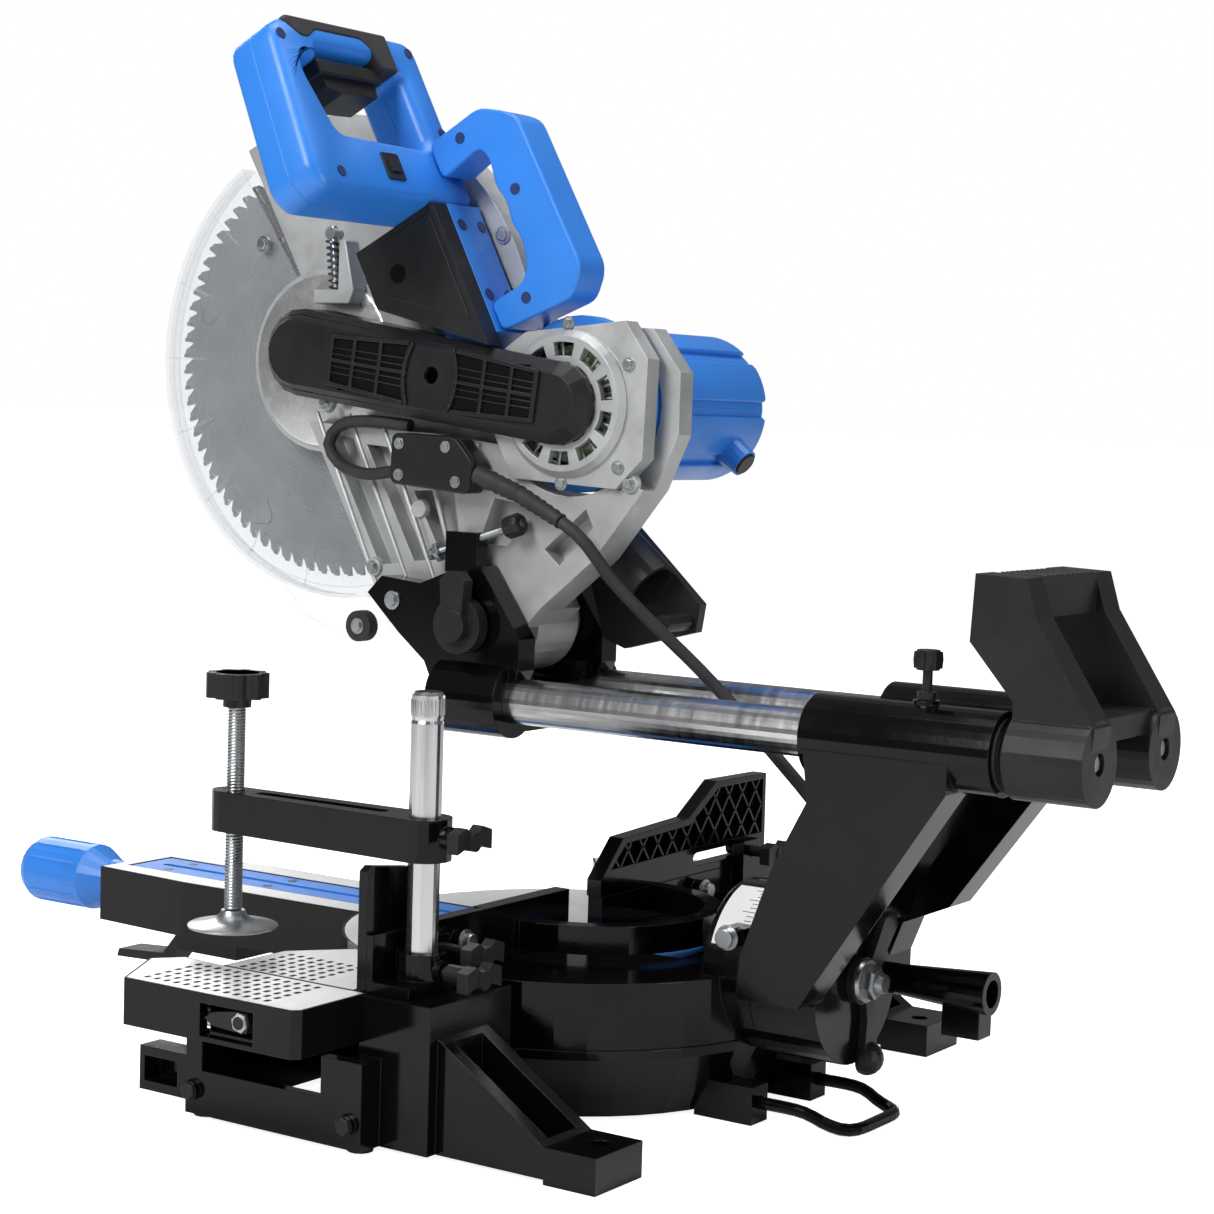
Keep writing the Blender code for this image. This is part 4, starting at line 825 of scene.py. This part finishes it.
def add_belt_details():
    dark, bars = [], []
    bow_half = 21
    for side in (1, -1):
        near, far = 20 * side, 86 * side
        # Flat black sheet under the grille's bars: painted shade for the cover's dark inside.
        panel = [(near, -19), (far, -15), (far, 15), (near, 19)]
        dark.append(prism([cover_line(*point) for point in panel], 63.95, 64.15, along_x))
        bow = []
        for step in range(9):
            v = -bow_half + step * bow_half / 4
            bow.append((side * (17 + 5.0 * (1 - (v / bow_half) ** 2)), v))
        bars += cover_bar(bow, 3.0, COVER_X, 66.6)
        for v in (20, -20):
            bars += cover_bar([(near, v), (far, v * 0.8)], 2.8, COVER_X, 66.4)
        bars += cover_bar([(far, -17), (far, 17)], 3.4, COVER_X, 66.6)
        for share in (0.36, 0.70):
            u = near + (far - near) * share
            bars += cover_bar([(u, -18), (u, 18)], 2.6, COVER_X, 66.2)
        for v in (-9.5, -4.7, 4.7, 9.5):
            bars += cover_bar([(near, v), (far, v * 0.88)], 1.0, COVER_X, 65.2)
        bars += cover_bar([(near, 0), (far, 0)], 2.4, COVER_X, 66.0)
    boss = [(COVER_X, 6.2), (66.8, 6.2), (66.8, 9.0), (COVER_X, 11.0)]
    ring = lathe(boss, cover_line(0, 0), along_x, 36)
    piece("cover_grille_shade", "head", "black_plastic", dark, look=BLACK_PRINT_AND_SHADE)
    piece("cover_ribs", "head", "black_plastic", bars + [ring], bevel=0.35)
    collar = lathe(
        [(19, 50.2), (24, 50.2), (25, 51), (25, 55.5), (19, 55.5)], (MOTOR_Y, MOTOR_Z), along_x, 36
    )
    piece("cover_collar", "head", "black_plastic", [collar])
    wedge = fillet([(-3, -6), (78, -6), (28, -66), (-3, -66)], 5)
    panel = prism(wedge, 62.8, 63.9, lean_side)
    piece("box_panel", "head", "black_plastic", [panel], bevel=0.5)
    # Flat black disc in the box's hole: painted shade.
    hole = stack((63.6, -116, 531), (64.2, -116, 531), [(0, 6.4), (1, 6.4)], 24)
    piece("box_hole_shade", "head", "black_plastic", [hole], look=BLACK_PRINT_AND_SHADE)
    screws = []
    for y, z in ((-114, 418), (-75, 417), (-66, 394), (-114, 397)):
        screws += hex_head((59.8, y, z), (1, 0, 0), 3.2, 1.8, washer=4.0)
    piece("box_screws", "head", "zinc_steel", screws)
    lid = fillet([(-121, 425), (-68, 424), (-52, 407), (-56, 386), (-122, 391)], 5)
    shapes = [prism(lid, 42.0, 55.4, along_x), prism(lid, 56.2, 60.0, along_x)]
    piece("box_shells", "head", "black_plastic", shapes, stands_for=("junction_box",), bevel=1.2)


def add_handles():
    outer = [(13.5, -128), (22, -136), (150, -136), (164, -128), (178, -22), (170, -8), (13.5, -8)]
    window = [(41, -104), (44, -108), (58.6, -108), (59, -116.4), (125, -116.4), (125.4, -108)]
    window += [(142, -108), (146, -96), (135, -52), (46, -50), (41, -56)]
    outer = resample(fillet(outer, 9), 120)
    inner = resample(fillet(window, 7), 120)
    far = [(-42.0, 5.5), (-40.8, 3.0), (-38.6, 1.0), (-35.5, 0.0), (-21.2, 0.0), (-20.9, 0.35)]
    near = [(-20.9, 0.35), (-20.6, 0.0), (-7.0, 0.0), (-3.8, 1.0), (-1.6, 3.0), (-0.4, 5.5)]
    halves = [frame_ring(outer, inner, levels, lean_point) for levels in (far, near)]
    piece("grip_shells", "head", "blue_plastic", halves, stands_for=("d_handle",))
    rubber = [(44, -135.9), (148, -135.9), (152, -131), (138, -121), (130, -121), (120, -128)]
    rubber += [(74, -128), (66, -121), (60, -107), (44, -107)]
    wrap = prism(fillet(rubber, 3), -42.6, 0.3, lean_point)
    piece("grip_rubber", "head", "black_rubber", [wrap], bevel=1.6)
    # Dark navy discs where the handles' screws sit in their recesses: painted shade.
    dots = []
    for x, s in ((158, -120), (24, -125), (21, -63), (150, -21)):
        face = lean_point(x, s, -0.6)
        dots.append(stack(face, face.lerp(lean_point(x, s, 1.0), 0.5), [(0, 3.9), (1, 3.9)], 20))
    for x, s in ((18, 8), (40, 8), (18, 60), (40, 60)):
        face = lean_point(x, s, -0.6)
        dots.append(stack(face, face.lerp(lean_point(x, s, 1.0), 0.5), [(0, 4.2), (1, 4.2)], 20))
    for s, n in ((-43, 25), (9, 50), (77, 27)):
        dots.append(stack(lean_side(s, n, 42.6), lean_side(s, n, 43.3), [(0, 3.9), (1, 3.9)], 20))
    piece("handle_screw_recess_shade", "head", "blue_plastic", dots, look=RECESS_SHADE)
    outline = [(-52, 0.2), (-54, 46), (-43, 62), (-33, 72), (75, 75), (83, 71), (94, 59), (88, 0.2)]
    outline += [(67, 0.2), (67, 29), (57, 37), (42, 40.5), (28, 37.5), (12, 40.5), (0, 36.5)]
    outline += [(-18, 40), (-30, 36), (-25, 0.2)]
    soft = fillet(outline, 6, 3)
    shells = [prism(soft, 13, 43, lean_side)]
    piece("carry_shells", "head", "blue_plastic", shells, stands_for=("carry_handle",), bevel=7.0)
    plate = fillet([(84, -40), (102, -40), (102, -20), (84, -20)], 2)
    plate = prism(plate, -1.5, 0.9, lean_point)
    piece("switch_plate", "head", "black_plastic", [plate], bevel=0.5)
    box_top = fillet([(60, -110), (124, -110), (124, -99), (60, -99)], 2)
    box = prism(box_top, -38, -5, lean_point)
    piece("trigger_box", "trigger", "black_plastic", [box], bevel=1.5)


# ---- slide and rear


def add_slide_details():
    rings = []
    for side in (1, -1):
        centre = (side * RAIL_X, RAIL_Z)
        profile = [(15.6, 333.8), (21.5, 333.8), (22.5, 336.4), (15.6, 336.4)]
        rings.append(lathe(profile, centre, along_y, 36))
    piece("rail_wipers", "bevel_arm", "black_rubber", rings)
    ridges = []
    for i in range(10):
        x = -31.5 + i * 7
        ridges.append(stack((x, 317, 356.2), (x, 347, 356.2), [(0, 0.9), (0.5, 1.1), (1, 0.9)], 8))
    piece("rear_grip_ridges", "carriage", "black_plastic", ridges)
    bolts = hex_head((30, 372, 276), (0, 0, 1), 5.4, 6.0, washer=8.0)
    for side in (1, -1):
        bolts += hex_head((side * RAIL_X, 384.5, RAIL_Z), (0, 1, 0), 5.6, 4.5, washer=6.6)
    for side in (1, -1):
        bolts += hex_head((side * 58, -118, 312), (side, 0, 0), 4.4, 2.6, washer=6.4)
    piece("slide_bolts", "carriage", "zinc_steel", bolts)
    bolt = hex_head((25, 245, 260), (0, 0, 1), 4.2, 3.2, washer=5.6)
    piece("arm_bolts", "bevel_arm", "zinc_steel", bolt)
    flutes = []
    for i in range(6):
        x, y = spoke(RAIL_X, 281, 7.2, i * 60)
        flutes.append(stack((x, y, 298), (x, y, 308), [(0, 1.4), (0.5, 1.9), (1, 1.4)], 8))
    piece("rail_knob_flutes", "rail_knob", "black_plastic", flutes)
    along = Vector((0, 75, 24.8)).normalized()
    foot = Vector((50, -93, 344.1))
    rod = [threaded(foot, (50, -18, 368.9), 3.0, 0.5, 1.4, 12)]
    rod += [stack(foot + along * 6.5, foot + along * 10, [(0, 7.2), (1, 7.2)], 6)]
    rod += [stack(foot, foot + along * 3, [(0, 4.2), (1, 4.6)], 6)]
    piece("depth_thread", "depth_screw", "zinc_steel", rod, stands_for=("depth_screw",))
    end = Vector((50, -18, 368.9))
    grips = [stack(end - along * 13, end, [(0, 6.8), (0.15, 8), (0.85, 8), (1, 6.8)], 8)]
    piece("depth_knob", "depth_screw", "black_plastic", grips, bevel=0.8)


def ring_band(inner, outer, y0, y1, start, end, steps):
    """Strip of a tube about the bevel axis."""
    outline = arc(0, TABLE_Z, outer, start, end, steps)
    outline += arc(0, TABLE_Z, inner, end, start, steps)
    return prism(outline, y0, y1, along_y)


def add_bevel_details():
    nut = [stack((0, 224, TABLE_Z), (0, 231, TABLE_Z), [(0, 11), (0.8, 11), (1, 9.8)], 6)]
    nut.append(stack((0, 221.4, TABLE_Z), (0, 223.8, TABLE_Z), [(0, 14), (1, 13.4)], 32))
    nut.append(threaded((0, 229, TABLE_Z), (0, 236, TABLE_Z), 6.0, 0.6, 1.5, 16))
    nut.append(stack((0, 204, TABLE_Z), (0, 222, TABLE_Z), [(0, 6), (1, 6)], 16))
    piece("pivot_nut", "bevel_arm", "zinc_steel", nut, stands_for=("bevel_nut",))
    label = ring_band(54.15, 54.5, 138, 162, 22, 74, 16)
    piece("bevel_scale", "turntable", "black_paint", [label], look=LABEL)
    ticks = []
    for i in range(13):
        angle = 26 + i * 3.6
        length = 9 if i % 3 == 0 else 5
        ticks.append(ring_band(54.4, 54.62, 161 - length, 161, angle, angle + 0.45, 1))
    piece("bevel_scale_ticks", "turntable", "black_paint", ticks, look=BLACK_PRINT_AND_SHADE)
    bolts = hex_head((66, 159, 121), (1, 0, 0), 6.2, 5.0, washer=8.0, socket=True)
    piece("bevel_stop_bolt", "turntable", "zinc_steel", bolts)


# ---- tables, fence and clamp


def dashes(columns, rows):
    """Small round-ended marks on the table top."""
    length, width = 5.4, 3.4
    shapes = []
    for x in columns:
        for y in rows:
            outline = rounded(x - length / 2, x + length / 2, y - width / 2, y + width / 2, 1.1, 2)
            shapes.append(prism(outline, MARK_LOW, MARK_HIGH, along_z))
    return shapes


def add_tables():
    for side, word in ((1, "right"), (-1, "left")):
        wing = arc(0, 0, 160, -1, -27.8, 10) + [(175, -103), (177, -104.6), (232, -104.6), (232, -3)]
        skin = prism(flip(wing, side), SKIN_LOW, SKIN_HIGH, along_z)
        piece("wing_top_" + word, "base", "cast_aluminium", [skin], look=DECK)
        deck = [(235.5, 7.5), (292.4, 7.5), (296.6, 3.4), (296.6, -127), (249, -152), (232.6, -139)]
        skin = prism(flip(deck + [(235.5, -105)], side), SKIN_LOW, SKIN_HIGH, along_z)
        piece("end_top_" + word, "ext_" + word, "cast_aluminium", [skin], look=DECK)
        columns = [side * (183 + i * 9) for i in range(6)]
        marks = dashes(columns, [-94 + i * 8 for i in range(8)])
        piece("wing_marks_" + word, "base", "black_plastic", marks, look=BLACK_PRINT_AND_SHADE)
        columns = [side * (243 + i * 9) for i in range(6)]
        marks = dashes(columns, [-118 + i * 8 for i in range(13)])
        piece("end_marks_" + word, "ext_" + word, "black_plastic", marks, look=BLACK_PRINT_AND_SHADE)
        near, far = side * 293.5, side * 297.6
        bolt = [stack((near, -36, 78), (far, -36, 78), [(0, 6.4), (0.8, 6.4), (1, 5.4)], 6)]
        piece("lever_bolt_" + word, "ext_lever_" + word, "zinc_steel", bolt)
    skins = []
    for side in (1, -1):
        half = [(24, -3), (24, -392.5), (26, -401.5), (39.6, -401.5), (45.4, -314), (43.8, -148.7)]
        half += arc(0, 0, 155, -73.4, -1.2, 18)
        skins.append(prism(flip(half, side), SKIN_LOW, SKIN_HIGH, along_z))
    strip = [(-26, -401.5), (26, -401.5), (24, -392.5), (-24, -392.5)]
    skins.append(prism(strip, SKIN_LOW, SKIN_HIGH, along_z))
    piece("turntable_top", "turntable", "cast_aluminium", skins, look=DECK)
    screws = []
    for y in (-360, -262, -160, -58, 40):
        for x in (-13.5, 13.5):
            screws.append(stack((x, y, 91.4), (x, y, 91.9), [(0, 3.6), (1, 3.4)], 16))
    piece("insert_screws", "turntable", "zinc_steel", screws, look=SPRING)
    grooves = []
    for i in range(12):
        x, z = spoke(0, 73, 24.6, i * 30)
        swell = [(0, 0.5), (0.1, 1.2), (0.9, 1.2), (1, 0.5)]
        grooves.append(stack((x, -500, z), (x, -450, z), swell, 8))
    piece("knob_flutes", "mitre_knob", "blue_plastic", grooves)


def clip_line(polygon, start, direction):
    """Stretches of a line that lie inside a polygon."""
    crossings = []
    for i in range(len(polygon)):
        a, b = Vector(polygon[i - 1]), Vector(polygon[i])
        edge = b - a
        cross = direction.x * edge.y - direction.y * edge.x
        if abs(cross) < 1e-9:
            continue
        gap = a - start
        t = (gap.x * edge.y - gap.y * edge.x) / cross
        u = (gap.x * direction.y - gap.y * direction.x) / cross
        if 0 <= u < 1:
            crossings.append(t)
    crossings.sort()
    return list(zip(crossings[::2], crossings[1::2]))


def add_fence_details():
    pitch, half_width, shortest = 19, 1.1, 4
    hollow = [(-24, 133), (-42, 149), (-124, 152), (-162, 175), (-226, 175), (-226, 135), (-130, 135)]
    ribs = []
    for lean in (1, -1):
        direction = Vector((lean * 0.62, 0.78)).normalized()
        for foot in range(-330, 60, pitch):
            start = Vector((foot, 120))
            for near, far in clip_line(hollow, start, direction):
                if far - near < shortest:
                    continue
                a, b = start + direction * near, start + direction * far
                across = Vector((-direction.y, direction.x)) * half_width
                outline = [a + across, b + across, b - across, a - across]
                ribs.append(prism([(p.x, p.y) for p in outline], 6.8, 11.6, along_y))
    piece("fence_lattice", "fence_left", "black_paint", ribs, bevel=0.3)
    bolts = hex_head((150, 19, 112), (0, 1, 0), 5.4, 5, washer=7.5, socket=True)
    bolts += hex_head((-135, 19, 105), (0, 1, 0), 5.4, 5, washer=7.5, socket=True)
    piece("fence_bolts", "base", "zinc_steel", bolts)


def add_clamp_details():
    screw = threaded((POST_X, SCREW_Y, 120.4), (POST_X, SCREW_Y, 249.6), 6.0, 0.9, 2.0, 18)
    piece("clamp_thread", "clamp_wheel", "zinc_steel", [screw], stands_for=("clamp_screw",))
    knurl = []
    ridge = [(0, 0.25), (0.1, 0.5), (0.9, 0.5), (1, 0.25)]
    for x, y in circle(POST_X, POST_Y, 10.0, 28):
        knurl.append(stack((x, y, 259), (x, y, 269), ridge, 6))
    piece("post_knurl", "base", "zinc_steel", knurl)
    cap = [(0, 272), (14, 272), (15, 270.5), (9, 268), (0, 268)]
    lid = lathe(cap, (POST_X, SCREW_Y), along_z, 32)
    piece("wheel_cap", "clamp_wheel", "black_plastic", [lid])
    dish = [(0, 108.2), (26, 108.2), (28.4, 109), (28.8, 110.2), (27.6, 111), (16, 112.6)]
    dish += [(11.5, 114.5), (8.6, 117.2), (7.4, 119.9), (0, 119.9)]
    disc = lathe(dish, (POST_X, SCREW_Y), along_z, 56)
    piece("pad_disc", "clamp_pad", "zinc_steel", [disc], stands_for=("clamp_pad",))


def add_base_details():
    bolts = []
    for side in (1, -1):
        near, far = side * 261.6, side * 263.4
        for y in (-107, 16):
            bolts.append(stack((near, y, 18), (far, y, 18), [(0, 5.6), (0.7, 5.6), (1, 4.8)], 6))
    piece("frame_bolts", "base", "black_plastic", bolts)


# ---- cord

CORD_ROUTE = [
    (55.0, 16.7, 371.6),
    (55.0, 25, 367.2),
    (51, 37, 355),
    (42, 48, 336),
    (25, 66, 311),
    (8, 94, 281),
    (0, 120, 255),
    (0, 150, 228),
    (-2, 176, 203),
    (-20, 188, 176),
    (-48, 178, 146),
    (-76, 158, 112),
    (-108, 138, 86),
    (-146, 120, 68),
    (-186, 106, 60),
    (-228, 91.5, 61.5),
    (-246, 85.3, 54.5),
    (-264, 79.1, 40.2),
    (-282, 72.9, 23.7),
    (-298, 67.4, 11.4),
    (-310, 63.2, 6.0),
    (-319.5, 59.9, 4.7),
]


def smooth_route(route, spacing):
    """Points a set distance apart on a smooth curve through the route's points."""
    route = [Vector(point) for point in route]
    padded = [route[0] * 2 - route[1], *route, route[-1] * 2 - route[-2]]
    fine = []
    for p0, p1, p2, p3 in zip(padded, padded[1:], padded[2:], padded[3:]):
        for step in range(24):
            t = step / 24
            point = p1 * 2 + (p2 - p0) * t
            point += (p0 * 2 - p1 * 5 + p2 * 4 - p3) * t * t
            point += (p1 * 3 - p0 - p2 * 3 + p3) * t * t * t
            fine.append(point / 2)
    fine.append(route[-1])
    travelled = travelled_along(fine)
    count = max(2, round(travelled[-1] / spacing))
    points = []
    index = 0
    for step in range(count + 1):
        wanted = travelled[-1] * step / count
        while index < len(fine) - 2 and travelled[index + 1] < wanted:
            index += 1
        share = (wanted - travelled[index]) / (travelled[index + 1] - travelled[index])
        points.append(fine[index].lerp(fine[index + 1], min(1.0, share)))
    return points


def coil_points():
    """Two flat layers: in along the floor, up at the middle, and out again on top."""
    pitch = 8.7
    low, high = 4.7, 13.6
    outer_r = 56.5
    first = 109.0
    in_turns, rise_turns, out_turns = 2.3, 0.3, 1.7222
    points = []
    steps = 40
    inner_r = outer_r - in_turns * pitch
    for i in range(round(in_turns * steps) + 1):
        turn = i / steps
        points.append((first + turn * 360, outer_r - pitch * turn, low))
    for i in range(1, 13):
        share = i / 12
        ease = share * share * (3 - 2 * share)
        turn = in_turns + rise_turns * share
        points.append((first + turn * 360, inner_r, low + (high - low) * ease))
    for i in range(1, round(out_turns * steps) + 1):
        turn = in_turns + rise_turns + i / steps
        points.append((first + turn * 360, inner_r + pitch * i / steps, high))
    return [Vector((*spoke(COIL_X, COIL_Y, radius, turn), z)) for turn, radius, z in points]


def add_cord():
    run = smooth_route(CORD_ROUTE, 12)
    coil = coil_points()
    leave = (coil[-1] - coil[-2]).normalized()
    tail = [coil[-1] + leave * step for step in (16, 32, 50, 68)]
    route = run + coil + tail
    data = bpy.data.curves.new("mains_cord", "CURVE")
    data.dimensions = "3D"
    data.bevel_depth = CORD_R * MM
    data.bevel_resolution = 5
    data.use_fill_caps = True
    spline = data.splines.new("POLY")
    spline.points.add(len(route) - 1)
    for target, point in zip(spline.points, route):
        target.co = (*at(*point), 1.0)
    data.materials.append(LOOKS["black_rubber"])
    cord = bpy.data.objects.new("mains_cord", data)
    bpy.context.scene.collection.objects.link(cord)
    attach(cord, "base")
    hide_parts("cord_tube", "cord_coil")
    flat = Vector((leave.x, leave.y, 0)).normalized()
    across = Vector((-flat.y, flat.x, 0))
    start = tail[-2] - leave * 4
    sleeve = [(i / 10, 5.2 + 2.6 * i / 10 + (0.7 if i % 2 else 0.0)) for i in range(11)]
    neck_end = start + leave * 34
    body_end = neck_end + flat * 36
    grip = [(0, 7.5), (0.08, 11.5), (0.3, 13.2), (0.75, 13.4), (0.94, 12.6), (1, 11.5)]
    shapes = [stack(start, neck_end, sleeve, 16), stack(neck_end - flat * 2, body_end, grip, 20)]
    plug = piece("plug_body", "base", "black_rubber", shapes, stands_for=("plug",), bevel=0.6)
    pins = []
    for side in (1, -1):
        foot = body_end + across * 6.5 * side - flat * 1
        pins.append(stack(foot, foot + flat * 19, [(0, 2.3), (0.9, 2.3), (1, 1.7)], 12))
    prongs = piece("plug_pins", "base", "zinc_steel", pins, look=MACHINED)
    root, bend, end = (55, -51.2, 399.5), (55, -17, 388), (55, 16, 372)
    wide = [(i / 12, 7.0 - 0.8 * i / 12 - (0.8 if i % 2 else 0.0)) for i in range(13)]
    narrow = [(i / 12, 6.2 - 0.9 * i / 12 - (0.8 if i % 2 else 0.0)) for i in range(13)]
    shapes = [stack(root, bend, wide, 20), stack(bend, end, narrow, 20)]
    relief = piece("cord_sleeve", "head", "black_rubber", shapes, stands_for=("strain_relief",))


add_studio()
add_camera()
dress_frame()
add_cord()
add_blade()
add_guard_details()
add_arm_details()
add_motor_details()
add_belt_details()
add_handles()
add_slide_details()
add_bevel_details()
add_tables()
add_fence_details()
add_clamp_details()
add_base_details()
